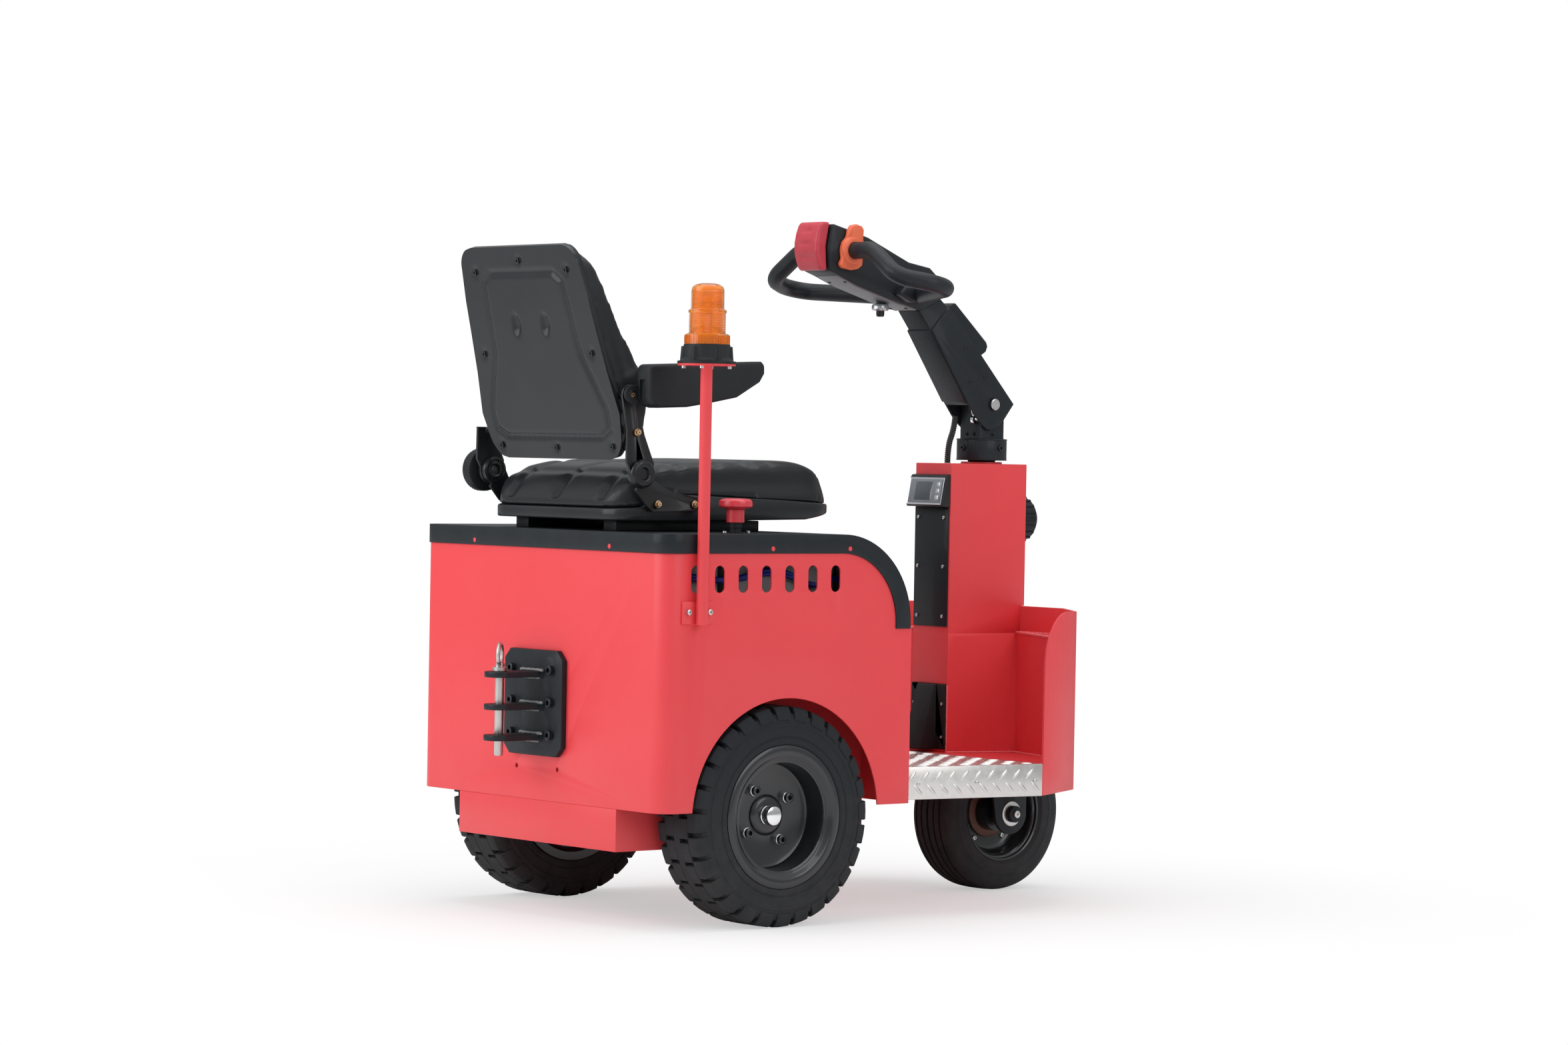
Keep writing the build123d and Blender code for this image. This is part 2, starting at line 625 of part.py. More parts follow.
def front_fork():
    top = FORK_CROWN_BOTTOM + FORK_CROWN_PLATE
    outline = polygon([
        (FRONT_WHEEL_X - FORK_END_RADIUS, FRONT_TYRE_RADIUS),
        (FRONT_WHEEL_X + FORK_END_RADIUS, FRONT_TYRE_RADIUS),
        (FRONT_WHEEL_X + FORK_END_RADIUS, FRONT_TYRE_RADIUS + 56),
        (873, FORK_CROWN_BOTTOM - 40),
        (868, top),
        (778, top),
    ])
    end = Pos(FRONT_WHEEL_X, FRONT_TYRE_RADIUS) * Circle(FORK_END_RADIUS)
    outside = FORK_INNER_Y + FORK_PLATE
    leg = side_plate(outline + end, FORK_INNER_Y, outside)
    crown = block(778, 868, -outside, outside, FORK_CROWN_BOTTOM, top)
    axle = rod_y(FRONT_AXLE_RADIUS, FRONT_WHEEL_X, FRONT_TYRE_RADIUS, -outside, outside)
    nut = rod_y(17, FRONT_WHEEL_X, FRONT_TYRE_RADIUS, outside, outside + 16)
    fork = both_sides(leg + nut) + crown + axle
    under = FLOOR_TOP - FRAME_PLATE
    around = block(STEER_X - 200, STEER_X + 200, -200, 200, under, top + 1)
    height = top + 1 - under
    turning_room = Pos(STEER_X, 0, under + height / 2) * Cone(TURN_RADIUS_LOW, TURN_RADIUS_HIGH, height)
    return fork - (around - turning_room)


def control_conduit():
    path = FilletPolyline(
        (731, 0, COLUMN_TOP + 0.5), (731, 0, 905), (747, 0, 940), (750, 0, 966), radius=38,
    )
    return sweep(Plane(path @ 0, z_dir=path % 0) * Circle(6.5), path=path)


# Tiller: arm, head, loop handles and controls.

ARM_BACK_TOP = (650.0, 1138.5)
ARM_BACK_BOTTOM = (748.0, 996.5)
ARM_NOSE = (875.5, 992.6)
ARM_FRONT_STEP = (786.0, 1088.6)
ARM_FRONT_TOP = (697.0, 1186.0)


def tiller_arm():
    half = ARM_HALF_WIDTH
    inside = half - ARM_PLATE
    outline = polygon([
        ARM_BACK_TOP, ARM_BACK_BOTTOM, (772, 966), (792, 947), (802, 940), (814, 938.5),
        (845, 954.5), ARM_NOSE, ARM_FRONT_STEP, ARM_FRONT_TOP,
    ])
    arm = side_plate(outline, -half, half)
    hollow = polygon([
        (668, 1122), (755, 996), (755, 900), (900, 900), (868, 994), (779, 1088), (706, 1167),
    ])
    arm = arm - side_plate(hollow, -inside, inside)
    neck = polygon([(660, 1124), (705, 1177), (675, 1202), (619, 1176)])
    front_cover = polygon([ARM_FRONT_TOP, ARM_FRONT_STEP, (800, 1097), (804, 1114), (714, 1192)])
    back_cover = polygon([(647, 1137), (745, 994), ARM_BACK_BOTTOM, ARM_BACK_TOP])
    arm = arm + side_plate(neck, -inside, inside)
    arm = arm + side_plate(front_cover, -inside, inside)
    arm = arm + side_plate(back_cover, -half + 1, half - 1)
    bore = TILLER_PIN_RADIUS + RUNNING_CLEARANCE
    return arm - rod_y(bore, TILLER_PIVOT_X, TILLER_PIVOT_Z, -half - 1, half + 1)


def tiller_head():
    outline = polygon([
        (378, 1247), (402, 1239), (451, 1220), (557, 1190), (619, 1176), (675, 1202),
        (690, 1222), (640, 1262), (585, 1271), (477, 1316), (421, 1331), (384, 1340), (374, 1295),
    ])
    key = rod_z(8, 545, 0, 1164, 1196)
    return side_plate(outline, -HEAD_HALF_WIDTH, HEAD_HALF_WIDTH) + key


def handle_loop():
    half = HEAD_HALF_WIDTH
    path = FilletPolyline(
        (HANDLE_ROOT_X, half, HANDLE_ROOT_Z), (HANDLE_ROOT_X, 112, HANDLE_ROOT_Z), (422, 192, 1235),
        (518, 252, 1216), (599, 60, 1206), (599, half, 1206), radius=HANDLE_BEND_RADIUS,
    )
    return sweep(Plane(path @ 0, z_dir=path % 0) * Circle(HANDLE_RADIUS), path=path)


def tiller_handles():
    return both_sides(handle_loop())


def belly_button():
    top = (362, 1343)
    bottom = (362, 1247)
    back = ThreePointArc(top, (346, 1296), bottom)
    front = ThreePointArc((377, 1247), (372, 1295), (382, 1343))
    outline = make_face([back, Line(bottom, (377, 1247)), front, Line((382, 1343), top)])
    button = side_plate(outline, -36, 36)
    outline = polygon([
        (378, 1247), (402, 1239), (451, 1220), (451, 1323), (421, 1331), (384, 1340), (374, 1295),
    ])
    return button - side_plate(outline, -37, 37)


def throttle():
    y0 = HEAD_HALF_WIDTH + FACE_CLEARANCE
    y1 = y0 + 14
    disc = Pos(HANDLE_ROOT_X, HANDLE_ROOT_Z) * Circle(29)
    wing = polygon([
        (396, 1257), (424, 1250), (450, 1257), (446, 1290), (452, 1334), (420, 1338), (408, 1296),
    ])
    bore = Pos(HANDLE_ROOT_X, HANDLE_ROOT_Z) * Circle(HANDLE_RADIUS + RUNNING_CLEARANCE)
    return both_sides(side_plate(disc + wing - bore, y0, y1))


# Seat.

def seat_rails():
    return both_sides(block(-228, 114, 120, 160, BODY_TOP + COVER_SHEET, SEAT_PAN_BOTTOM))


def seat_plan(inset):
    length = SEAT_FRONT_X - SEAT_REAR_X
    outline = Rectangle(length - inset * 2, SEAT_HALF_WIDTH * 2 - inset * 2)
    outline = fillet(outline.vertices(), SEAT_CORNER_RADIUS - inset)
    return Pos((SEAT_FRONT_X + SEAT_REAR_X) / 2, 0) * outline


PAN_RIM = [(-262, 777), (-215, 780), (-165, 806), (120, 796), (268, 788)]


def seat_pan():
    plan = flat_plate(seat_plan(0), SEAT_PAN_BOTTOM, 830)
    side = polygon([(268, 774), (180, 759), (-100, 755), (-262, 755)] + PAN_RIM)
    return plan & side_plate(side, -SEAT_HALF_WIDTH, SEAT_HALF_WIDTH)


def seat_cushion():
    plan = flat_plate(seat_plan(5), SEAT_PAN_BOTTOM, 870)
    crown = Spline((-262, 777), (-250, 806), (-178, 845), (-60, 857), (110, 860), (228, 843), (268, 788))
    rim = Polyline(PAN_RIM)
    side = side_plate(make_face([crown, rim]), -SEAT_HALF_WIDTH, SEAT_HALF_WIDTH)
    return plan & side


HINGE_DISC_RADIUS = 26.0


def seat_hinges():
    y0 = HINGE_PLATE_Y
    y1 = y0 + HINGE_PLATE
    outline = polygon([
        (-241, 812), (-218, 786), (-200, 772), (-97, 774), (-92, 787), (-97, 800), (-157, 811),
        (-197, 830), (-212, 860),
    ])
    disc = Pos(SEAT_HINGE_X, SEAT_HINGE_Z) * Circle(HINGE_DISC_RADIUS)
    plate = side_plate(outline + disc, y0, y1)
    foot = block(-198, -92, SEAT_HALF_WIDTH, y0, 775, 795)
    pin = rod_y(HINGE_PIN_RADIUS, SEAT_HINGE_X, SEAT_HINGE_Z, y1, y1 + HINGE_PLATE + 1)
    return both_sides(plate + foot + pin)


BACK_PLANE = Plane(
    origin=(BACK_BASE_X, 0, BACK_BASE_Z),
    x_dir=(0, 1, 0),
    z_dir=(cos(radians(RECLINE)), 0, sin(radians(RECLINE))),
)
BACK_SIDE = [
    (168, 0), (212, 14), (222, 88), (209, 168), (201, 245), (196, 310), (181, 378),
    (145, BACK_LENGTH),
]


def back_outline(inset):
    left_side = [(-x, y) for x, y in reversed(BACK_SIDE)]
    return polygon(moved_in(BACK_SIDE + left_side, inset))


def back_point(along, out):
    """A place on the backrest, up its length and out from its rear face, in X and Z."""
    angle = radians(RECLINE)
    x = BACK_BASE_X - along * sin(angle) + out * cos(angle)
    z = BACK_BASE_Z + along * cos(angle) + out * sin(angle)
    return x, z


def back_pan():
    return extrude(BACK_PLANE * back_outline(0), BACK_PAN_DEPTH, dir=BACK_PLANE.z_dir)


def back_cushion():
    thick = extrude(BACK_PLANE * back_outline(4), 95, dir=BACK_PLANE.z_dir)
    start = BACK_PAN_DEPTH
    front = Spline(
        back_point(4, start), back_point(14, 44), back_point(60, 68), back_point(130, 86),
        back_point(218, 72), back_point(300, 58), back_point(376, 46), back_point(402, 32),
        back_point(BACK_LENGTH - 4, start),
    )
    side = make_face([front, Line(front @ 1, front @ 0)])
    return thick & side_plate(side, -240, 240)


def back_brackets():
    y0 = HINGE_PLATE_Y + HINGE_PLATE + FACE_CLEARANCE
    y1 = y0 + HINGE_PLATE
    outline = polygon([
        (-258, 845), (-205, 845), (-204, 862), (-227, 914), (-239, 954), (-246, 988), (-281, 988),
        (-267, 922), (-268, 865),
    ])
    disc = Pos(SEAT_HINGE_X, SEAT_HINGE_Z) * Circle(HINGE_DISC_RADIUS + 2)
    top = Pos(ARMREST_PIVOT_X, ARMREST_PIVOT_Z) * Circle(18)
    bore = Pos(SEAT_HINGE_X, SEAT_HINGE_Z) * Circle(HINGE_PIN_RADIUS + RUNNING_CLEARANCE)
    plate = side_plate(outline + disc + top - bore, y0, y1)
    stays = []
    for along in (50.0, 121.6):
        x, z = back_point(along, 21)
        stays.append(rod_y(8, x, z, 160, y1))
    pivot = rod_y(8, ARMREST_PIVOT_X, ARMREST_PIVOT_Z, -y1 - HINGE_PLATE - 2, -y1)
    return both_sides(plate + stays) + pivot - back_pan() - back_cushion()


def armrest():
    y0 = HINGE_PLATE_Y + HINGE_PLATE * 2 + FACE_CLEARANCE * 2
    outline = polygon([
        (-249, 1045), (-251, 1038), (-250, 985), (-243, 968), (-226, 965), (-160, 968),
        (-110, 976), (-43, 988), (11, 1018), (22, 1036), (22, 1054), (14, 1058),
    ])
    pad = side_plate(outline, y0, y0 + ARMREST_WIDTH)
    slot = block(-252, -243, y0 + 12, y0 + 30, 977, 1018)
    head = Pos(ARMREST_PIVOT_X, ARMREST_PIVOT_Z) * Circle(17)
    tab = head + polygon([(-262, 973), (-240, 973), (-240, 1007), (-262, 1007)])
    pad = pad - slot + side_plate(tab, y0, y0 + HINGE_PLATE)
    bore = rod_y(8 + RUNNING_CLEARANCE, ARMREST_PIVOT_X, ARMREST_PIVOT_Z, y0 - 1, y0 + 21)
    return mirror(pad - bore, Plane.XZ)


def recliner_cover():
    y0 = HINGE_PLATE_Y + HINGE_PLATE * 2 + FACE_CLEARANCE
    boss = rod_y(20, SEAT_HINGE_X, SEAT_HINGE_Z, y0, y0 + 14)
    disc = rod_y(RECLINER_COVER_RADIUS, SEAT_HINGE_X, SEAT_HINGE_Z, y0 + 13, y0 + 41)
    room = rod_y(HINGE_PIN_RADIUS + 5, SEAT_HINGE_X, SEAT_HINGE_Z, y0 - 1, y0 + 6)
    return boss + disc - room


# Beacon, stop switch and hitch.

POST_Y = -(BODY_HALF_WIDTH + SHEET + POST_RADIUS)


def beacon_post():
    pole = rod_z(POST_RADIUS, POST_X, POST_Y, POST_BOTTOM, BEACON_PLATE_TOP - 3)
    plate = block(
        POST_X - 37, POST_X + 34, -BODY_HALF_WIDTH - SHEET, -BODY_HALF_WIDTH,
        POST_BOTTOM + 1, POST_BOTTOM + 43,
    )
    weld = block(POST_X - 6, POST_X + 6, POST_Y, -BODY_HALF_WIDTH - SHEET, POST_BOTTOM + 3, POST_BOTTOM + 41)
    top = rod_z(53, POST_X, POST_Y, BEACON_PLATE_TOP - 4, BEACON_PLATE_TOP)
    return pole + plate + weld + top


def beacon_base():
    flange = rod_z(54, POST_X, POST_Y, BEACON_PLATE_TOP, BEACON_PLATE_TOP + 5)
    return flange + rod_z(43.5, POST_X, POST_Y, BEACON_PLATE_TOP + 5, 1083)


def beacon_lens():
    section = polygon([
        (0, 1083), (41.5, 1083), (41.5, 1101), (34, 1105), (34, 1141), (31, 1145), (31, 1180),
        (24, 1190), (0, 1195),
    ])
    return Pos(POST_X, POST_Y, 0) * revolve(Plane.XZ * section, Axis.Z, 360)


def stop_base():
    return rod_z(12.5, STOP_X, STOP_Y, BODY_TOP + COVER_SHEET, 755)


def stop_knob():
    return rod_z(16.8, STOP_X, STOP_Y, 755, 781) + rod_z(32, STOP_X, STOP_Y, 781, 800)


def hitch():
    half = HITCH_HALF_WIDTH
    corner = HITCH_CORNER
    outline = polygon([
        (-half + corner, HITCH_BOTTOM), (half - corner, HITCH_BOTTOM),
        (half, HITCH_BOTTOM + corner), (half, HITCH_TOP - corner),
        (half - corner, HITCH_TOP), (-half + corner, HITCH_TOP),
        (-half, HITCH_TOP - corner), (-half, HITCH_BOTTOM + corner),
    ])
    plate_rear = BODY_REAR - HITCH_PLATE
    body = Pos(plate_rear, 0, 0) * extrude(Plane.YZ * outline, HITCH_PLATE, dir=(1, 0, 0))
    radius = TONGUE_TIP_RADIUS
    for level in TONGUE_LEVELS:
        strip = Pos((PIN_X + plate_rear) / 2, 0) * Rectangle(plate_rear - PIN_X, radius * 2)
        tongue = strip + Pos(PIN_X, 0) * Circle(radius)
        tongue = tongue - Pos(PIN_X, 0) * Circle(PIN_RADIUS + RUNNING_CLEARANCE)
        body = body + flat_plate(tongue, level - TONGUE_THICKNESS / 2, level + TONGUE_THICKNESS / 2)
    return body


def tow_pin():
    collar_bottom = TONGUE_LEVELS[-1] + TONGUE_THICKNESS / 2 + FACE_CLEARANCE
    shaft = rod_z(PIN_RADIUS, PIN_X, 0, PIN_BOTTOM, collar_bottom + 14)
    collar = rod_z(14, PIN_X, 0, collar_bottom, collar_bottom + 8)
    ring = Pos(PIN_X, 0, PIN_RING_Z) * Rot(90, 0, 0) * Torus(20, 4)
    return shaft + collar + ring


PIECES = {
    "body_shell": body_shell,
    "top_cover": top_cover,
    "chassis_box": chassis_box,
    "battery_pack": battery_pack,
    "drive_unit": drive_unit,
    "front_frame": front_frame,
    "wheel_box": wheel_box,
    "tread_plate": tread_plate,
    "column": column,
    "column_panel": column_panel,
    "display": display,
    "pedal_unit": pedal_unit,
    "headlight": headlight,
    "seat_rails": seat_rails,
    "seat_pan": seat_pan,
    "seat_cushion": seat_cushion,
    "seat_hinges": seat_hinges,
    "stop_base": stop_base,
    "stop_knob": stop_knob,
    "beacon_post": beacon_post,
    "beacon_base": beacon_base,
    "beacon_lens": beacon_lens,
    "hitch": hitch,
    "tow_pin": tow_pin,
    "steering_yoke": steering_yoke,
    "front_fork": front_fork,
    "tyre_front": front_tyre,
    "rim_front": front_rim,
    "tiller_arm": tiller_arm,
    "tiller_head": tiller_head,
    "tiller_handles": tiller_handles,
    "belly_button": belly_button,
    "throttle": throttle,
    "control_conduit": control_conduit,
    "back_pan": back_pan,
    "back_cushion": back_cushion,
    "back_brackets": back_brackets,
    "recliner_cover": recliner_cover,
    "armrest_right": armrest,
}

LEFT_SIDE = {
    "tyre_rear_left": rear_tyre,
    "rim_rear_left": rear_rim,
    "hub_cap_left": hub_cap,
}

solids = {}
for name, make in PIECES.items():
    solids[name] = make()
for name, make in LEFT_SIDE.items():
    solids[name] = make()
    solids[name.replace("left", "right")] = mirror(solids[name], Plane.XZ)

# The finished vehicle stands with the middle of its bounding box over the origin.
everything = Compound(children=[Compound(solid.wrapped) for solid in solids.values()])
box = everything.bounding_box()
shift = Pos(-(box.min.X + box.max.X) / 2, -(box.min.Y + box.max.Y) / 2, -box.min.Z)
print("shift", shift)
for name, solid in solids.items():
    export_step(shift * solid, f"parts/{name}.step")
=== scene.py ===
from math import cos, exp, hypot, radians, sin

import bmesh
import bpy
from mathutils import Matrix, Vector, noise


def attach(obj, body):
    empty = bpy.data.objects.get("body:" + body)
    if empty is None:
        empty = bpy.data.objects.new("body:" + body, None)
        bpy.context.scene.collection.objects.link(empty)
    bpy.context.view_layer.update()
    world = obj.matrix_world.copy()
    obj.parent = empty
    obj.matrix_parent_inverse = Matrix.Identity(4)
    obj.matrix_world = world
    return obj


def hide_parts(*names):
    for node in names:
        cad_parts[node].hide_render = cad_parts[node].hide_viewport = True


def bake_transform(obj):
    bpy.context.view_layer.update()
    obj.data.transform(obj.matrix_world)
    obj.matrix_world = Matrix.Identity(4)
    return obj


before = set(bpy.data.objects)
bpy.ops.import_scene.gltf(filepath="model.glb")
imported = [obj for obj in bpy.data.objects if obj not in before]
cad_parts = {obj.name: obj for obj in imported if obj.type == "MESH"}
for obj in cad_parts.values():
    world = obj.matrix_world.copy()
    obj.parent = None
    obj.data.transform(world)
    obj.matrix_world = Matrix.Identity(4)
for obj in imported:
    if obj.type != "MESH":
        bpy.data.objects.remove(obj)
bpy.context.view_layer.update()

# The photographer's place. The tug is seen from behind its right rear corner, at about the
# height of the seat, with a long lens. Places are in millimetres from the middle of the rear
# axle at floor level, as on the tug's own drawing, and `at` turns them into scene places.

DRAWING_ZERO = Vector((-0.30335, 0.0250219, 0))
ACROSS = Vector((0, 1, 0))
AHEAD = Vector((1, 0, 0))
REAR = Vector((-1, 0, 0))
RIGHT = Vector((0, -1, 0))
UP = Vector((0, 0, 1))
SIDES = ((-1, "right"), (1, "left"))


def at(x, y, z):
    return DRAWING_ZERO + Vector((x, y, z)) / 1000


def mm(size):
    return size / 1000


def linked(name, data):
    """A new object in the scene."""
    made = bpy.data.objects.new(name, data)
    bpy.context.scene.collection.objects.link(made)
    return made


lens = bpy.data.cameras.new("photograph")
lens.sensor_width = 36
lens.lens = 104.46
camera = linked("camera", lens)
camera.location = at(-5352.5, -6957.4, 903.3)
heading = Matrix.Rotation(radians(50.877 - 90), 3, "Z")
tilt = Matrix.Rotation(radians(90 - 0.990), 3, "X")
roll = Matrix.Rotation(radians(1.035), 3, "Z")
camera.rotation_euler = (heading @ tilt @ roll).to_euler()
bpy.context.scene.camera = camera
bpy.context.scene.view_settings.view_transform = "Standard"


# The studio. A white room gives even light, with soft lamps behind the tug on its left, on its
# right and above it. The pale floor keeps the shadow between the wheels and turns white far out.

class Signal:
    """A number, colour or vector in a node tree. Arithmetic on numbers adds Math nodes."""

    def __init__(self, graph, socket):
        self.graph = graph
        self.socket = socket

    def maths(self, operation, *others):
        values = dict(enumerate((self,) + others))
        return self.graph.node("ShaderNodeMath", {"operation": operation}, values)

    def __add__(self, other):
        return self.maths("ADD", other)

    def __sub__(self, other):
        return self.maths("SUBTRACT", other)

    def __rsub__(self, other):
        return self.maths("MULTIPLY_ADD", -1.0, other)

    def __mul__(self, other):
        return self.maths("MULTIPLY", other)

    def __pow__(self, other):
        return self.maths("POWER", other)

    def __gt__(self, other):
        return self.maths("GREATER_THAN", other)

    __radd__ = __add__
    __rmul__ = __mul__

    def ranged(self, low, high):
        """0 below low, 1 above high, and smooth between them."""
        sockets = {"Value": self, "From Min": low, "From Max": high}
        return self.graph.node("ShaderNodeMapRange", {"interpolation_type": "SMOOTHSTEP"}, sockets)


class Graph:
    """A node tree. Every node is made by `node`: settings first, then values and links."""

    def __init__(self, tree):
        self.tree = tree

    def node(self, kind, settings=None, sockets=None, output=0):
        made = self.tree.nodes.new(kind)
        for name, value in (settings or {}).items():
            setattr(made, name, value)
        for name, value in (sockets or {}).items():
            if isinstance(value, Signal):
                self.tree.links.new(value.socket, made.inputs[name])
            else:
                made.inputs[name].default_value = value
        return Signal(self, made.outputs[output]) if made.outputs else None


ROOM_LIGHT = 0.55
ROOM_SHADE = 0.12
WHITE_IN_GLOSS = 0.25
room = bpy.data.worlds.new("white_room")
room.use_nodes = True
bpy.context.scene.world = room
air = Graph(room.node_tree)
air.tree.nodes.clear()
seen = [air.node("ShaderNodeLightPath", {}, {}, name) for name in (
    "Is Camera Ray", "Is Glossy Ray", "Is Transmission Ray")]
looked_at = air.node("ShaderNodeTexCoord", {}, {}, "Generated")
overhead = air.node("ShaderNodeSeparateXYZ", {}, {0: looked_at}, "Z")
light_on_tug = air.node("ShaderNodeBackground", {}, {
    "Color": (0.95, 0.975, 1, 1), "Strength": overhead.ranged(-0.05, 0.75) * ROOM_LIGHT + ROOM_SHADE})
white_behind = air.node("ShaderNodeBackground", {}, {"Color": (1, 1, 1, 1), "Strength": 1.0})
white_share = seen[0].maths("MAXIMUM", seen[2]).maths("MAXIMUM", seen[1] * WHITE_IN_GLOSS)
pick = air.node("ShaderNodeMixShader", {}, {0: white_share, 1: light_on_tug, 2: white_behind})
air.node("ShaderNodeOutputWorld", {}, {"Surface": pick})

LAMPS = {
    "lamp_behind_left": (at(-3600, 900, 2300), 3.2, 92),
    "lamp_right": (at(900, -4300, 2600), 3.0, 52),
    "lamp_above": (at(300, 0, 4200), 3.4, 60),
}
LAMPS_FACE = at(250, 0, 600)
for name, (place, size, power) in LAMPS.items():
    lamp = bpy.data.lights.new(name, "AREA")
    lamp.size = size
    lamp.energy = power
    stand = linked(name, lamp)
    stand.location = place
    stand.rotation_euler = (place - LAMPS_FACE).to_track_quat("Z", "Y").to_euler()


class Finish(Graph):
    """A material with one shader. Patterns are read at Object coordinates, in metres."""

    def __init__(self, name, **sockets):
        self.material = bpy.data.materials.new(name)
        self.material.use_nodes = True
        super().__init__(self.material.node_tree)
        self.shader = self.tree.nodes["Principled BSDF"]
        self.place = self.node("ShaderNodeTexCoord", {}, {}, "Object")
        self.set(**sockets)

    def set(self, **sockets):
        for name, value in sockets.items():
            socket = self.shader.inputs[name.replace("_", " ")]
            if isinstance(value, Signal):
                self.tree.links.new(value.socket, socket)
            else:
                socket.default_value = value

    def speckle(self, size, detail=2.0, stretch=(1, 1, 1)):
        """Cloudy noise from 0 to 1, whose patches are about `size` millimetres across."""
        place = self.node("ShaderNodeMapping", {}, {"Vector": self.place, "Scale": stretch})
        return self.node("ShaderNodeTexNoise", {}, {"Vector": place, "Scale": 1000 / size, "Detail": detail})

    def cells(self, size, output="Distance"):
        return self.node("ShaderNodeTexVoronoi", {}, {"Vector": self.place, "Scale": 1000 / size}, output)

    def height(self):
        """Height above the floor in metres."""
        return self.node("ShaderNodeSeparateXYZ", {}, {0: self.place}, "Z")

    def blend(self, share, first, second):
        """A colour between two others."""
        sockets = {0: share, 6: first, 7: second}
        return self.node("ShaderNodeMix", {"data_type": "RGBA"}, sockets, 2)

    def relief(self, height, depth):
        """Fine surface relief, `depth` in millimetres."""
        bump = self.node("ShaderNodeBump", {}, {"Height": height, "Distance": depth / 1000}, "Normal")
        self.set(Normal=bump)


def mottled(name, dark=None, pale=None, patch=None, rough=None, relief=None, **sockets):
    """A finish in patches of two colours, whose roughness and relief may vary too. `patch` says
    what `speckle` takes, `rough` a base and a spread before that, `relief` a depth after it."""
    made = Finish(name, **sockets)
    if patch:
        made.set(Base_Color=made.blend(made.speckle(*patch), (*dark, 1), (*pale, 1)))
    if rough:
        base, spread, *grain = rough
        made.set(Roughness=base + made.speckle(*grain) * spread)
    if relief:
        *grain, depth = relief
        made.relief(made.speckle(*grain), depth)
    return made


NEAR_SHARE = 0.5
WHITE_REACH = (0.55, 1.7)
floor_finish = Finish("pale_floor", Base_Color=(0.93, 0.93, 0.93, 1), Roughness=0.9)
floor_seen = floor_finish.node("ShaderNodeLightPath", {}, {}, "Is Camera Ray")
floor_white = floor_finish.node("ShaderNodeEmission", {}, {"Color": (1, 1, 1, 1), "Strength": 1.0})
floor_lit = Signal(floor_finish, floor_finish.shader.outputs[0])
from_tug = floor_finish.node("ShaderNodeVectorMath", {"operation": "LENGTH"}, {0: floor_finish.place}, "Value")
whitening = floor_seen * (NEAR_SHARE + from_tug.ranged(*WHITE_REACH) * (1 - NEAR_SHARE))
floor_mix = floor_finish.node("ShaderNodeMixShader", {}, {0: whitening, 1: floor_lit, 2: floor_white})
floor_finish.tree.links.new(floor_mix.socket, floor_finish.tree.nodes["Material Output"].inputs["Surface"])
floor_shape = bmesh.new()
bmesh.ops.create_grid(floor_shape, x_segments=1, y_segments=1, size=30)
floor_mesh = bpy.data.meshes.new("floor")
floor_shape.to_mesh(floor_mesh)
floor_mesh.materials.append(floor_finish.material)
floor = linked("floor", floor_mesh)


# The control conduit: a corrugated hose that carries the tiller's wires. It leaves the top of
# the column and goes up into the arm, so its foot stays with the column and its head turns
# with the steering.

def finished(name, shape, finish, body, stands_for=(), smooth_to=38):
    """Makes a bmesh a piece of the tug, shaded smooth up to an angle, riding on its body."""
    mesh = bpy.data.meshes.new(name)
    shape.to_mesh(mesh)
    shape.free()
    mesh.shade_smooth()
    mesh.set_sharp_from_angle(angle=radians(smooth_to))
    mesh.materials.append(finish.material)
    piece = linked(name, mesh)
    if body:
        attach(piece, body)
    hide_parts(*stands_for)
    return piece


CONDUIT_ROUTE = [(731, 0, 870.5), (731, 0, 905), (747, 0, 940), (750, 0, 966)]
CONDUIT_RADIUS = 6.5
CONDUIT_RIB = 4.0


def route_line(name, points, radius=0.0, order=3):
    """A smooth curve with these points as its control points, clamped at both ends."""
    line = bpy.data.curves.new(name, "CURVE")
    line.dimensions = "3D"
    line.bevel_depth = mm(radius)
    line.bevel_resolution = 6
    line.use_fill_caps = radius > 0
    spline = line.splines.new("NURBS")
    spline.points.add(len(points) - 1)
    for point, place in zip(spline.points, points):
        point.co = (*at(*place), 1)
    spline.order_u = order
    spline.use_endpoint_u = True
    spline.resolution_u = 16
    return line


def line_points(name, points):
    """Places along the smooth curve through a route."""
    guide = bpy.data.objects.new(name, route_line(name, points))
    mesh = bpy.data.meshes.new_from_object(guide)
    places = [vertex.co.copy() for vertex in mesh.vertices]
    bpy.data.objects.remove(guide)
    return places


def tube(shape, places, radius_at, sides=20):
    """A round tube along places, whose radius may change along it."""
    rings = []
    for index, place in enumerate(places):
        before = places[max(index - 1, 0)]
        after = places[min(index + 1, len(places) - 1)]
        facing = (after - before).to_track_quat("Z", "Y").to_matrix().to_4x4()
        ring = bmesh.ops.create_circle(
            shape, segments=sides, radius=radius_at(index), matrix=Matrix.Translation(place) @ facing)
        rings.append(ring["verts"])
    edges = [edge for ring in rings for edge in {e for vertex in ring for e in vertex.link_edges}]
    bmesh.ops.bridge_loops(shape, edges=edges)
    for end in (rings[0], rings[-1]):
        shape.faces.new(end)
    bmesh.ops.recalc_face_normals(shape, faces=shape.faces)


hose_black = mottled("hose_black", relief=(0.8, 2, 0.05), Base_Color=(0.018, 0.019, 0.021, 1), Roughness=0.42)

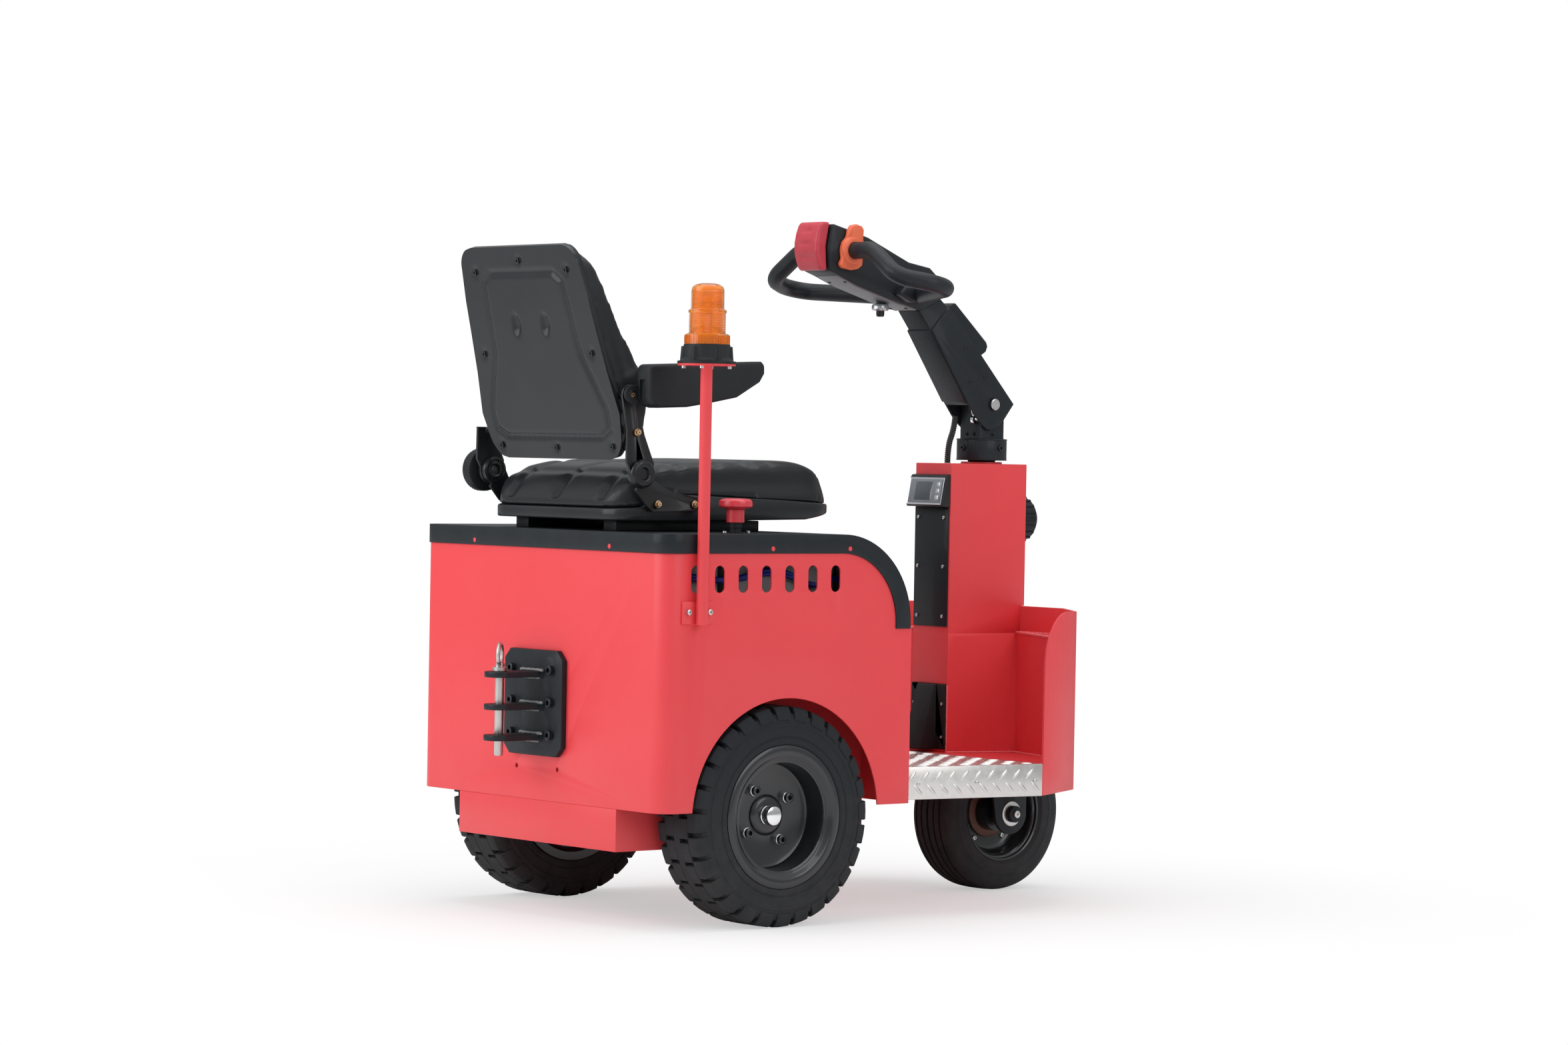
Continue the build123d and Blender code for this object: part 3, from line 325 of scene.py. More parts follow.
conduit_line = line_points("conduit_line", CONDUIT_ROUTE)
conduit_length = sum((b - a).length for a, b in zip(conduit_line, conduit_line[1:]))
rib_count = int(conduit_length / mm(CONDUIT_RIB)) * 4
conduit_places = []
for index in range(rib_count + 1):
    reach = conduit_length * index / rib_count
    for a, b in zip(conduit_line, conduit_line[1:]):
        if reach <= (b - a).length or b is conduit_line[-1]:
            conduit_places.append(a.lerp(b, min(reach / (b - a).length, 1)))
            break
        reach -= (b - a).length
conduit_shape = bmesh.new()
tube(conduit_shape, conduit_places, lambda i: mm(CONDUIT_RADIUS - (0, 0, 1.1, 1.1)[i % 4]))
conduit = finished("control_hose", conduit_shape, hose_black, None, ["control_conduit"], 20)
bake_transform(conduit)
mm(CONDUIT_RADIUS * 2)


# Rear wheels: solid cushion tyres with stepped lugs, on black pressed rims held by four
# socket bolts round a chromed hub cap. The lugs of the two shoulders are half a step apart.

REAR_AXLE = at(0, 0, 207.5)
WHEEL_MIDDLE = 329.4


def closed_turn(profile, centre, axis=ACROSS, steps=72):
    """A solid turned from a profile of (radius, along) in millimetres, which starts and ends on
    the axis or at one point."""
    shape = bmesh.new()
    side = UP if abs(axis.z) < 0.9 else AHEAD
    corners = [shape.verts.new(centre + side * mm(r) + axis * mm(along)) for r, along in profile]
    edges = [shape.edges.new(pair) for pair in zip(corners, corners[1:])]
    bmesh.ops.spin(shape, geom=corners + edges, cent=centre, axis=axis, angle=radians(360), steps=steps,
                   use_merge=True)
    bmesh.ops.remove_doubles(shape, verts=shape.verts, dist=0.00001)
    bmesh.ops.recalc_face_normals(shape, faces=shape.faces)
    return shape


def add_copies(shape, master, places):
    """Adds one copy of a small bmesh for each matrix of places, and frees it."""
    mesh = bpy.data.meshes.new("master")
    for place in places:
        copy = master.copy()
        copy.transform(place)
        copy.to_mesh(mesh)
        copy.free()
        shape.from_mesh(mesh)
    master.free()
    bpy.data.meshes.remove(mesh)


def add(shape, master):
    """Adds a bmesh where it stands, and frees it."""
    add_copies(shape, master, [Matrix()])


def around(centre, axis, count, start=0):
    """Places spread evenly round an axis through a centre."""
    return [Matrix.Translation(centre) @ Matrix.Rotation(radians(start + index * 360 / count), 4, axis)
            for index in range(count)]


def block(shape, size, place, turn=Matrix()):
    """Adds a box, its size in millimetres, at a place that a matrix then turns."""
    stretch = Matrix.Diagonal((*(mm(width) for width in size), 1))
    bmesh.ops.create_cube(shape, size=1, matrix=turn @ Matrix.Translation(place) @ stretch)


def square_ring(inner, outer, low, high):
    """The profile of a flat-sided ring."""
    return [(inner, low), (outer, low), (outer, high), (inner, high), (inner, low)]


def both_faces(half):
    """A wheel's whole profile from the half on one side of its middle."""
    return half + [(r, -y) for r, y in reversed(half) if y] + [half[0]]


def sharp_edges(shape, angle):
    return [e for e in shape.edges if e.is_manifold and e.calc_face_angle() > radians(angle)]


def rounded(shape, edges, width, segments=2):
    """Rounds edges of a bmesh by a width in millimetres."""
    bmesh.ops.bevel(shape, geom=edges, offset=mm(width), segments=segments, profile=0.5,
                    affect="EDGES", material=-1)


def new_points(made):
    """The fresh vertices of an extrusion."""
    return [v for v in made["geom"] if isinstance(v, bmesh.types.BMVert)]


def lug_block(shape, profile, centre, start, sweep):
    """One rubber block: a profile of (radius, along) carried round the axle by an angle."""
    side = Matrix.Rotation(radians(start), 3, ACROSS) @ UP
    corners = [shape.verts.new(centre + side * mm(r) + ACROSS * mm(along)) for r, along in profile]
    face = shape.faces.new(corners)
    bmesh.ops.spin(shape, geom=[face], cent=centre, axis=ACROSS, angle=radians(sweep), steps=2)


rubber = Finish("tyre_rubber", Specular_IOR_Level=0.25)
road_dust = rubber.speckle(28, 4) * rubber.height().ranged(0.42, 0.02)
rubber.set(Base_Color=rubber.blend(road_dust * 0.55, (0.015, 0.0175, 0.021, 1), (0.070, 0.066, 0.063, 1)),
           Roughness=0.66 + rubber.speckle(6) * 0.2)
rubber.relief(rubber.speckle(1.4, 3), 0.16)

LUG_STEPS = 28
SHOULDER_SWEEP = 10.1
MIDDLE_SWEEP = 10.6
MIDDLE_SHIFT = 3.6
CARCASS = [(106, 57.6), (133, 57.8), (135.5, 63.2), (139, 65), (147, 64.6), (148, 63.4), (150.5, 63.4),
           (151.5, 64.6), (170, 64.4), (171, 65.3), (174, 65.3), (175, 64.2), (184, 63), (192, 59.5),
           (195.5, 52)]
SHOULDER_LUG = [(193, 33), (206.8, 33), (207.2, 48), (205.4, 55), (198, 61.5), (186, 65.1), (180, 64.6),
                (185, 58), (192, 52)]
MIDDLE_LUG = [(193, 7), (207.5, 7), (207.3, 33.5), (193, 33.5)]


def rear_tyre(side):
    centre = REAR_AXLE + Vector((0, side * mm(WHEEL_MIDDLE), 0))
    shape = closed_turn(both_faces(CARCASS), centre, steps=96)
    lugs = bmesh.new()
    for index in range(LUG_STEPS):
        angle = index * 360 / LUG_STEPS
        for face, shift in ((1, 0), (-1, 180 / LUG_STEPS)):
            shoulder = [(r, y * face) for r, y in SHOULDER_LUG]
            middle = [(r, y * face) for r, y in MIDDLE_LUG]
            lug_block(lugs, shoulder, centre, angle + shift, SHOULDER_SWEEP)
            lug_block(lugs, middle, centre, angle + shift + MIDDLE_SHIFT * face, MIDDLE_SWEEP)
    bmesh.ops.recalc_face_normals(lugs, faces=lugs.faces)
    rounded(lugs, sharp_edges(lugs, 40), 1.3, 1)
    add(shape, lugs)
    add(shape, closed_turn([(194, 9), (206.6, 8), (207, 0), (206.6, -8), (194, -9), (194, 9)], centre, steps=112))
    return shape


rim_black = mottled("rim_enamel", rough=(0.27, 0.16, 40, 4), relief=(3.0, 2, 0.05),
                    Base_Color=(0.006, 0.0075, 0.0095, 1), Coat_Weight=0.5, Coat_Roughness=0.08)
chrome = mottled("chrome", rough=(0.07, 0.06, 9, 4), Base_Color=(0.86, 0.86, 0.87, 1), Metallic=1.0)
zinc = mottled("zinc_screws", (0.55, 0.55, 0.54), (0.74, 0.74, 0.72), (3,), (0.28, 0.12, 2), Metallic=1.0)
screw_black = mottled("black_screws", rough=(0.34, 0.15, 2), Base_Color=(0.012, 0.013, 0.015, 1), Metallic=0.3)

HUB_FACE = 8.1
RIM_PROFILE = [(15.2, 16.6), (30, 16.6), (34, 15.4), (38.5, 10.5), (38.5, 8.1), (92, 8.1), (97.5, 10.5),
               (100, 16), (100, 51), (102, 55.5), (107, 57.4), (111, 59), (115, 63.6), (119, 65.1),
               (131, 65.1), (134, 63.4), (134, 58.2), (106, 57.6), (106, -57.6), (134, -58.2),
               (134, -65.1), (118, -65.1), (110, -58), (101, -56), (100, 0.2), (15.2, 0.2), (15.2, 16.6)]
BOLT_RING = 56.5
HUB_CAP = [(0, 36), (13.5, 35.7), (17.4, 34.2), (19, 31.4), (19, 22), (17.8, 21), (17.8, 18.5), (19, 17.5),
           (19, 16.2), (0, 16.2)]


def socket_screw(shape, place, facing, radius, height, socket=0.5, sides=24):
    """A round screw head with a sunk socket, seated at a place and facing a direction."""
    turn = facing.to_track_quat("Z", "Y").to_matrix().to_4x4()
    middle = place + facing * mm(height / 2)
    made = bmesh.ops.create_cone(shape, cap_ends=True, segments=sides, radius1=mm(radius),
                                 radius2=mm(radius), depth=mm(height), matrix=Matrix.Translation(middle) @ turn)
    top = max((f for f in {f for v in made["verts"] for f in v.link_faces} if len(f.verts) == sides),
              key=lambda f: f.calc_center_median().dot(facing))
    bmesh.ops.inset_region(shape, faces=[top], thickness=mm(radius * 0.14), depth=mm(radius * 0.1))
    bmesh.ops.inset_region(shape, faces=[top], thickness=mm(radius * (0.86 - socket)), depth=0)
    sunk = bmesh.ops.extrude_face_region(shape, geom=[top])
    bmesh.ops.translate(shape, verts=new_points(sunk), vec=facing * -mm(height * 0.55))
    if top.is_valid:
        shape.faces.remove(top)


def screws(name, finish, body, heads):
    """A piece of screws, each with what `socket_screw` takes after the shape."""
    shape = bmesh.new()
    for head in heads:
        socket_screw(shape, *head)
    finished(name, shape, finish, body)


for side, word in SIDES:
    body = word + "_rear_wheel"
    centre = REAR_AXLE + Vector((0, side * mm(WHEEL_MIDDLE), 0))
    outward = Vector((0, side, 0))
    finished("tyre_" + word, rear_tyre(side), rubber, body, ["tyre_rear_" + word], 30)
    rim = closed_turn([(r, y * side) for r, y in RIM_PROFILE], centre, steps=120)
    seats = []
    for index in range(4):
        angle = radians(34 + 90 * index) * -side
        spoke = Vector((cos(angle), 0, sin(angle))) * mm(BOLT_RING)
        seats.append(centre + spoke + outward * mm(HUB_FACE))
        socket_screw(rim, seats[-1], outward, 9.2, 13.5)
    finished("rim_" + word, rim, rim_black, body, ["rim_rear_" + word])
    screws("bolt_collars_" + word, zinc, body, [(seat, outward, 10.4, 6, 0.86) for seat in seats])
    finished("hub_cap_" + word + "_chrome", closed_turn([(r, y * side) for r, y in HUB_CAP], centre, steps=48),
             chrome, body, ["hub_cap_" + word])


# Front wheel: a ribbed tyre on a small black rim with a bare brown centre plate, held in a
# black fork by a bright nut on each side.

FRONT_AXLE = at(852.1, 0, 158.6)
FRONT_HALF = [(92, 47), (104, 59), (112, 59.5), (120, 58.6), (121, 59.4), (124, 59.4), (125.5, 58.4), (138, 56.5),
              (148, 52), (154.5, 45.5), (156.6, 39), (157, 37.2), (152.6, 36.6), (152.6, 33), (157.6, 32.4),
              (158.2, 20.5), (153, 20), (153, 16.4), (158.4, 15.8), (158.6, 3), (153.2, 2.4), (153.2, 0)]
finished("tyre_front_ribbed", closed_turn(both_faces(FRONT_HALF), FRONT_AXLE, steps=120),
         rubber, "front_wheel", ["tyre_front"], 30)

FRONT_RIM = [(10.2, 68), (20, 68), (22, 66), (24, 44), (38, 40), (38, 5), (70, 5), (78, 9), (84, 18), (85, 38),
             (88, 45), (92, 47.4), (93.5, 52), (97, 53.4), (98, 51), (95, 46.8), (92, 46)]
finished("rim_front_enamel", closed_turn(both_faces(FRONT_RIM), FRONT_AXLE, steps=96),
         rim_black, "front_wheel", ["rim_front"])
primer = mottled("brown_primer", (0.11, 0.05, 0.035), (0.2, 0.1, 0.07), (12, 4), (0.5, 0.2, 5), Metallic=0.2)
HUB_PLATE = [(38.4, 5), (52, 5), (52, 8.5), (46, 12), (38.4, 12), (38.4, 5)]
FRONT_SCREW_RING = 64
primer_plates = bmesh.new()
front_screws = []
for side, word in SIDES:
    outward = Vector((0, side, 0))
    add(primer_plates, closed_turn(HUB_PLATE, FRONT_AXLE, axis=outward, steps=48))
    for index in range(5):
        angle = radians(72 * index + 20)
        spot = FRONT_AXLE + Vector((cos(angle), 0, sin(angle))) * mm(FRONT_SCREW_RING) + outward * mm(5)
        front_screws.append((spot, outward, 5, 4.5, 0.5, 12))
finished("front_hub_plates", primer_plates, primer, "front_wheel")
screws("front_rim_screws", zinc, "front_wheel", front_screws)


# Chassis and body: cut and folded sheet, welded and sprayed red. Every edge of the cut plate
# is lightly broken, and the paint has a faint orange peel and some road haze low down.

JOINT_LEVELS = (0.517, 0.531)


def solid_of(node):
    """A CAD node's own shape, its facets joined at their corners."""
    shape = bmesh.new()
    shape.from_mesh(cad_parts[node].data)
    bmesh.ops.remove_doubles(shape, verts=shape.verts, dist=0.00002)
    return shape


def softened(node, width, sharper_than=30):
    """A CAD node's own shape with its sharp edges broken by a width in millimetres."""
    shape = solid_of(node)
    bmesh.ops.dissolve_limit(shape, angle_limit=radians(0.6), verts=shape.verts, edges=shape.edges)
    edges = sharp_edges(shape, sharper_than)
    if node in ("column", "wheel_box"):
        edges = [e for e in edges if not all(JOINT_LEVELS[0] < v.co.z < JOINT_LEVELS[1] for v in e.verts)]
    if width:
        rounded(shape, edges, width)
    return shape


def dressed(node, width, finish, body, sharper_than=30):
    """The CAD node with broken edges and its finish, shown in its place."""
    return finished(node + "_finished", softened(node, width, sharper_than), finish, body, [node])


red = Finish("red_enamel", Coat_Weight=0.08, Coat_Roughness=0.2, Specular_IOR_Level=0.42)
haze = red.speckle(160, 3) * 0.5 + red.speckle(18, 4) * 0.2
low_dust = red.height().ranged(0.32, 0.14) * red.speckle(30, 5)
clean_red = red.blend(haze, (0.78, 0.050, 0.060, 1), (0.85, 0.075, 0.085, 1))
red.set(Base_Color=red.blend(low_dust * 0.35, clean_red, (0.62, 0.11, 0.10, 1)),
        Roughness=0.40 + red.speckle(60, 4) * 0.14)
red.relief(red.speckle(2.6, 2), 0.035)

slate = mottled("slate_powder_coat", (0.0085, 0.0115, 0.0145), (0.016, 0.020, 0.0245), (45, 4), (0.42, 0.18, 9, 3),
                (1.1, 2, 0.07), Coat_Weight=0.12, Coat_Roughness=0.12, Specular_IOR_Level=0.22)

for node, width in {"body_shell": 1.0, "chassis_box": 1.2, "front_frame": 1.2, "wheel_box": 1.0,
                    "column": 1.2, "beacon_post": 0.7}.items():
    dressed(node, width, red, "chassis")
for node, width in {"top_cover": 0.8, "seat_rails": 1.5, "column_panel": 0.8, "hitch": 1.5}.items():
    dressed(node, width, slate, "chassis")
for node, width in {"front_fork": 1.5, "steering_yoke": 1.2}.items():
    dressed(node, width, slate, "steering")


# Beads of weld stand where the wheel box meets the deck and the column, sprayed over in red. Their paler pink patches
# are painted highlight.

def weld(shape, start, end, size, seed):
    """A row of overlapping beads between two places, uneven as a hand weld is."""
    run = end - start
    count = max(int(run.length / mm(size * 0.75)), 2)
    places = []
    for index in range(count + 1):
        wobble = noise.noise(Vector((seed, index * 0.7, 3.1)))
        place = start.lerp(end, index / count) + Vector((0, 0, mm(size * 0.25 * wobble)))
        grow = 1 + 0.28 * noise.noise(Vector((index * 1.3, seed, 0.4)))
        places.append(Matrix.Translation(place) @ Matrix.Diagonal((grow, grow, grow * 0.7, 1)))
    bead = bmesh.new()
    bmesh.ops.create_icosphere(bead, subdivisions=2, radius=mm(size))
    add_copies(shape, bead, places)


# The darker colour is the red paint; the paler pink patches are painted highlight on the beads.
weld_red_with_painted_highlight = mottled("sprayed_weld_painted_highlight", (0.8, 0.09, 0.10), (0.88, 0.24, 0.26), (5, 3), Roughness=0.42, Coat_Weight=0.2)
WELD_RUNS = [((694, 55, 287), (834, 108, 287), 3.2), ((834, 108, 287), (764, 328, 287), 3.2),
             ((694, 54.5, 290), (694, 54.5, 420), 2.0), ((886, 58, 527), (886, 172, 527), 4.2),
             ((880, 55, 527), (760, 330, 527), 4.2)]
beads = bmesh.new()
for side, word in SIDES:
    for index, (start, end, size) in enumerate(WELD_RUNS):
        weld(beads, *(at(x, side * y, z) for x, y, z in (start, end)), size, index + side)
finished("weld_beads", beads, weld_red_with_painted_highlight, "chassis", smooth_to=60)


# Screws of the body: the cover's countersunk holes show the red paint below, the beacon's
# bracket has two bright socket screws, and small ones hold the column's panels, the deck's
# edges and the stop switch.

COLUMN_BACK = 690.9
DECK_REAR = 309
DECK_RUN = 331
DECK_HALF = 360
DECK_FLARE = 45
DECK_LIP = 3


def deck_half(x):
    """Half the deck's width, which grows towards the front."""
    return DECK_HALF + (x - DECK_REAR) / DECK_RUN * DECK_FLARE


body_screws = [(at(x, -392.5, 592), RIGHT, 5.2, 6) for x in (-235.5, -187)]
body_screws += [(at(COLUMN_BACK, y, z), REAR, 3.4, 2.4) for y in (-39, 39) for z in (760.5, 661.5, 561)]
body_screws += [(at(COLUMN_BACK, y, z), REAR, 3.2, 2.4) for y in (-43, 43) for z in (384, 317)]
body_screws += [(at(x, side * (deck_half(x) + DECK_LIP), 256), Vector((-0.13, side, 0)).normalized(), 3.6, 2.2)
                for side, word in SIDES for x in (350, 484, 619)]
body_screws += [(at(x, -300, 735), UP, 4, 3.5) for x in (-80, -24)]
screws("body_screws", zinc, "chassis", body_screws)

COVER_SCREWS = [((-288.8, 210.7, 708), REAR), ((-288.8, -220.7, 708), REAR), ((-36.6, -391.3, 708), RIGHT),
                ((150, -391.3, 708), RIGHT), ((-36.6, 391.3, 708), -RIGHT), ((150, 391.3, 708), -RIGHT)]
screws("cover_screws", red, "chassis",
       [(at(*place), way, 4.4, 0.5, 0.7) for place, way in COVER_SCREWS])


# Deck: a folded plate of bright aluminium with raised bars in the usual criss-cross tread, let
# down over the edge of the step on each side and screwed there.

tread_metal = mottled("tread_aluminium", (0.62, 0.60, 0.57), (0.80, 0.79, 0.77), (14, 5, (1, 3, 1)),
                      (0.24, 0.22, 14, 5, (1, 3, 1)), (1.6, 3, (1, 5, 1), 0.04), Metallic=1.0)
dressed("tread_plate", 1.2, tread_metal, "chassis")

BAR_PITCH = 24.0
BAR_LENGTH = 29.0
DECK_TOP = 289
bar_places = []


def tread_bar(place, facing, angle):
    """Notes one raised bar of the tread, turned on its plate."""
    lift = facing.to_track_quat("Z", "Y").to_matrix().to_4x4()
    bar_places.append(Matrix.Translation(place) @ lift @ Matrix.Rotation(radians(angle), 4, "Z"))


for row in range(int(300 / BAR_PITCH) + 1):
    x = 322 + row * BAR_PITCH
    half = deck_half(x) - 12
    columns = int(half * 2 / BAR_PITCH)
    for column in range(columns + 1):
        y = -half + column * half * 2 / columns
        tread_bar(at(x, y, DECK_TOP), UP, 45 if (row + column) % 2 else -45)
for side, word in SIDES:
    for index in range(21):
        x = 320 + index * 15
        facing = Vector((-0.13, side, 0)).normalized()
        level, angle = (270, 45) if index % 2 else (244, -45)
        tread_bar(at(x, side * (deck_half(x) + DECK_LIP), level), facing, angle)
bars = bmesh.new()
bar = bmesh.new()
bmesh.ops.create_uvsphere(bar, u_segments=8, v_segments=4, radius=1,
                          matrix=Matrix.Diagonal((mm(BAR_LENGTH / 2), mm(3.8), mm(2.2), 1)))
add_copies(bars, bar, bar_places)
finished("tread_bars", bars, tread_metal, "chassis", smooth_to=70)


# Hitch: a thick chamfered plate on six socket bolts, tongues welded to it, and a bright steel
# pin with a ring that drops through them.

screws("hitch_bolts", screw_black, "chassis",
       [(at(-298, y, z), REAR, 9, 9) for y in (-60, 64) for z in (470, 409, 348)])
raw_weld = mottled("raw_weld", (0.06, 0.062, 0.066), (0.42, 0.42, 0.42), (4, 3), (0.42, 0.2, 3), Metallic=0.5)
WELD_X = -304
tongue_welds = bmesh.new()
for index, level in enumerate((342, 400, 461)):
    weld(tongue_welds, at(WELD_X, -36, level + 8), at(WELD_X, 27, level + 8), 4.6, 11 + index)
    weld(tongue_welds, at(WELD_X, -27, level - 7), at(WELD_X, 27, level - 7), 3.2, 15 + index)
finished("tongue_welds", tongue_welds, raw_weld, "chassis", smooth_to=60)
RUBBED = (7, 4, (1, 1, 0.2))
pin_steel = mottled("pin_steel", (0.42, 0.41, 0.39), (0.66, 0.65, 0.63), RUBBED, (0.26, 0.25, *RUBBED), Metallic=1.0)
PIN = at(-375, 0, 0)
PIN_PROFILE = [(0, 308), (6.8, 308), (8.5, 310.5), (8.5, 466.8), (13.2, 466.8), (14, 467.6), (14, 474),
               (13.2, 474.8), (9, 475.4), (8.6, 482), (0, 482), (0, 308)]
RING_TURN = radians(134)
RING_LEVEL = Vector((0, 0, mm(498)))
RING_RADIUS = 20
RING_WIRE = 4
ring_round = [(RING_RADIUS + RING_WIRE * cos(radians(a)), RING_WIRE * sin(radians(a))) for a in range(0, 361, 24)]
pin_shaft = closed_turn(PIN_PROFILE, PIN, axis=UP, steps=40)
add(pin_shaft, closed_turn(ring_round, PIN + RING_LEVEL, axis=Vector((cos(RING_TURN), sin(RING_TURN), 0)), steps=48))
finished("tow_pin_and_ring", pin_shaft, pin_steel, "pin", ["tow_pin"])


# Below the cover: the battery block with its lid, caps and leads, which show through the seven
# slots, and the drive unit with its axle, gear housing and finned motor.

battery_case = mottled("battery_case", (0.10, 0.105, 0.11), (0.17, 0.175, 0.18), (60, 3), relief=(2, 2, 0.06),
                       Roughness=0.45)
dressed("battery_pack", 4.0, battery_case, "chassis")
lead_blue = mottled("blue_lead", relief=(1.5, 2, 0.04), Base_Color=(0.015, 0.04, 0.42, 1), Roughness=0.4)
grey_box = mottled("controller_grey", (0.36, 0.37, 0.38), (0.46, 0.47, 0.48), (40,), Roughness=0.4)
LEAD_RADIUS = 4.2
for side, word in SIDES:
    boxes = bmesh.new()
    for x0, x1 in ((-250, -120), (-100, 20), (40, 160), (178, 256)):
        block(boxes, (x1 - x0, 34, 110), at((x0 + x1) / 2, side * 317, 620))
    rounded(boxes, boxes.edges[:], 4)
    finished("cell_blocks_" + word, boxes, grey_box, "chassis")
    leads = bmesh.new()
    for shift in (0, 9):
        route = [(-230, side * 345, 655 + shift), (-120, side * 348, 640), (10, side * 343, 668 + shift),
                 (110, side * 349, 628), (150, side * 346, 668), (205, side * 341, 600 + shift)]
        tube(leads, line_points("lead", route), lambda i: mm(LEAD_RADIUS), 10)
    finished("battery_leads_" + word, leads, lead_blue, "chassis")
cast = mottled("cast_iron_black", (0.022, 0.023, 0.025), (0.06, 0.058, 0.055), (20, 4), (0.55, 0.2, 8), (2.2, 4, 0.3),
               Metallic=0.2)
dressed("drive_unit", 1.5, cast, "chassis")
FIN_PITCH = 9
fins = bmesh.new()
for index in range(12):
    start = 78 + index * FIN_PITCH
    add(fins, closed_turn(square_ring(56, 63, start, start + 3), REAR_AXLE, axis=AHEAD, steps=40))
finished("motor_fins", fins, cast, "chassis")


# Column: a small display in a bright bevelled frame, a black panel below it, a moulded pedal on
# a black plate, and a round horn behind a black grille on the front.

black_plastic = mottled("moulded_black", (0.0085, 0.0098, 0.0118), (0.0155, 0.017, 0.0195), (30, 3), (0.48, 0.12, 4),
                        Specular_IOR_Level=0.28)
black_plastic.relief(black_plastic.cells(0.9), 0.05)
dressed("display", 1.5, screw_black, "chassis")
dressed("pedal_unit", 2.4, black_plastic, "chassis")

silver_trim = mottled("silver_trim", (0.5, 0.52, 0.55), (0.66, 0.68, 0.7), (6,), (0.25, 0.1, 3), Metallic=0.85)
screen = mottled("display_screen", (0.045, 0.06, 0.075), (0.10, 0.12, 0.14), (25,), Roughness=0.08, Coat_Weight=0.6)
grey_face = mottled("display_face", (0.20, 0.22, 0.25), (0.26, 0.28, 0.31), (15,), Roughness=0.3)

# The display's face leans back: its foot stands 25 mm off the column and its head 14 mm.
FACE_FOOT = at(668.2, 0, 786)
FACE_HEAD = at(679.2, 0, 842)
face_up = (FACE_HEAD - FACE_FOOT).normalized()
face_out = Vector((-face_up.z, 0, face_up.x))


def face_plate(name, finish, y0, y1, up0, up1, lift, rim=1.0, hollow=0.0):
    """A thin rounded plate on the display's face; sizes in millimetres along it."""
    shape = bmesh.new()
    middle = FACE_FOOT + face_up * mm((up0 + up1) / 2) + Vector((0, mm((y0 + y1) / 2), 0)) + face_out * mm(lift)
    turn = Matrix((ACROSS, face_up, ACROSS.cross(face_up))).transposed().to_4x4()
    block(shape, (y1 - y0, up1 - up0, 2), Vector(), Matrix.Translation(middle) @ turn)
    if hollow:
        faces = [f for f in shape.faces if f.normal.dot(face_out) > 0.9]
        bmesh.ops.inset_region(shape, faces=faces, thickness=mm(hollow), depth=0)
        bmesh.ops.translate(shape, verts=list({v for f in faces for v in f.verts}), vec=-face_out * mm(1.2))
    rounded(shape, shape.edges[:], rim * 0.4)
    finished(name, shape, finish, "chassis")


face_plate("display_frame", silver_trim, -53, 53, 0, 56, 0.4, 2, 3.5)
face_plate("display_face", grey_face, -48, 48, 4, 52, 0.6)
face_plate("display_screen", screen, -22, 30, 9, 47, 1.0)
for index in range(3):
    low = 10 + index * 13.5
    face_plate("display_button_%d" % index, silver_trim, -43, -33, low, low + 9, 1.2)

LAMP = at(899, 0, 758)
HORN = [(0, 0), (43, 0), (46, 3), (46, 34), (44, 40), (34, 50), (31, 51), (28, 49), (26, 38), (0, 34), (0, 0)]
finished("horn_body", closed_turn(HORN, LAMP, axis=AHEAD, steps=64), black_plastic, "chassis",
         ["headlight"])
grille = bmesh.new()
for radius in (10, 17, 24):
    add(grille, closed_turn(square_ring(radius - 1.3, radius + 1.3, 46, 49.5), LAMP, axis=AHEAD, steps=40))
for turn in around(LAMP, "X", 20):
    block(grille, (3, 2, 27), Vector((48, 0, 15)) / 1000, turn)
    block(grille, (30, 4.2, 3.2), Vector((21, 0, 46.6)) / 1000, turn)
finished("horn_grille", grille, black_plastic, "chassis")


# Driver's seat. Cushion and backrest are foam under black vinyl, drawn down at sewn seams. The
# foam is blown up a little by cloth simulation from the cushion's solid, its foot kept on the
# pan, and the seams are pressed in afterwards.

VINYL_SWELL = 15.0
FOAM_CELL = 7.0

vinyl = mottled("black_vinyl", (0.0075, 0.0088, 0.0105), (0.014, 0.016, 0.0185), (90, 3), (0.40, 0.12, 90, 3),
                Coat_Weight=0.22, Coat_Roughness=0.2, Specular_IOR_Level=0.22)
vinyl.relief(vinyl.cells(1.6) * 0.7 + vinyl.speckle(0.9) * 0.3, 0.14)


def evaluated(thing):
    """An object with its modifiers worked out."""
    return thing.evaluated_get(bpy.context.evaluated_depsgraph_get())


def skin_of(node):
    """The node's solid remeshed as an even skin, as an object ready for the simulation."""
    shape = solid_of(node)
    mesh = bpy.data.meshes.new("foam")
    shape.to_mesh(mesh)
    shape.free()
    foam = linked("foam", mesh)
    cells = foam.modifiers.new("cells", "REMESH")
    cells.mode = "VOXEL"
    cells.voxel_size = mm(FOAM_CELL)
    even = bpy.data.meshes.new_from_object(evaluated(foam))
    foam.modifiers.clear()
    foam.data = even
    return foam


def blown_up(foam, hold, pressure=4.0, frames=20):
    """Places of the skin's points after the simulation, each move capped by `hold` in metres."""
    rest = [vertex.co.copy() for vertex in foam.data.vertices]
    cloth = foam.modifiers.new("swell", "CLOTH")
    cloth.settings.use_pressure = True
    cloth.settings.uniform_pressure_force = pressure
    cloth.settings.effector_weights.gravity = 0
    cloth.point_cache.frame_start = 1
    cloth.point_cache.frame_end = frames
    for number in range(1, frames + 1):
        bpy.context.scene.frame_set(number)
    puffed = evaluated(foam).data
    moved = []
    for before, vertex in zip(rest, puffed.vertices):
        step = vertex.co - before
        most = hold(before)
        moved.append(before + step * min(1, most / max(step.length, 0.00001)))
    bpy.context.scene.frame_set(1)
    return moved


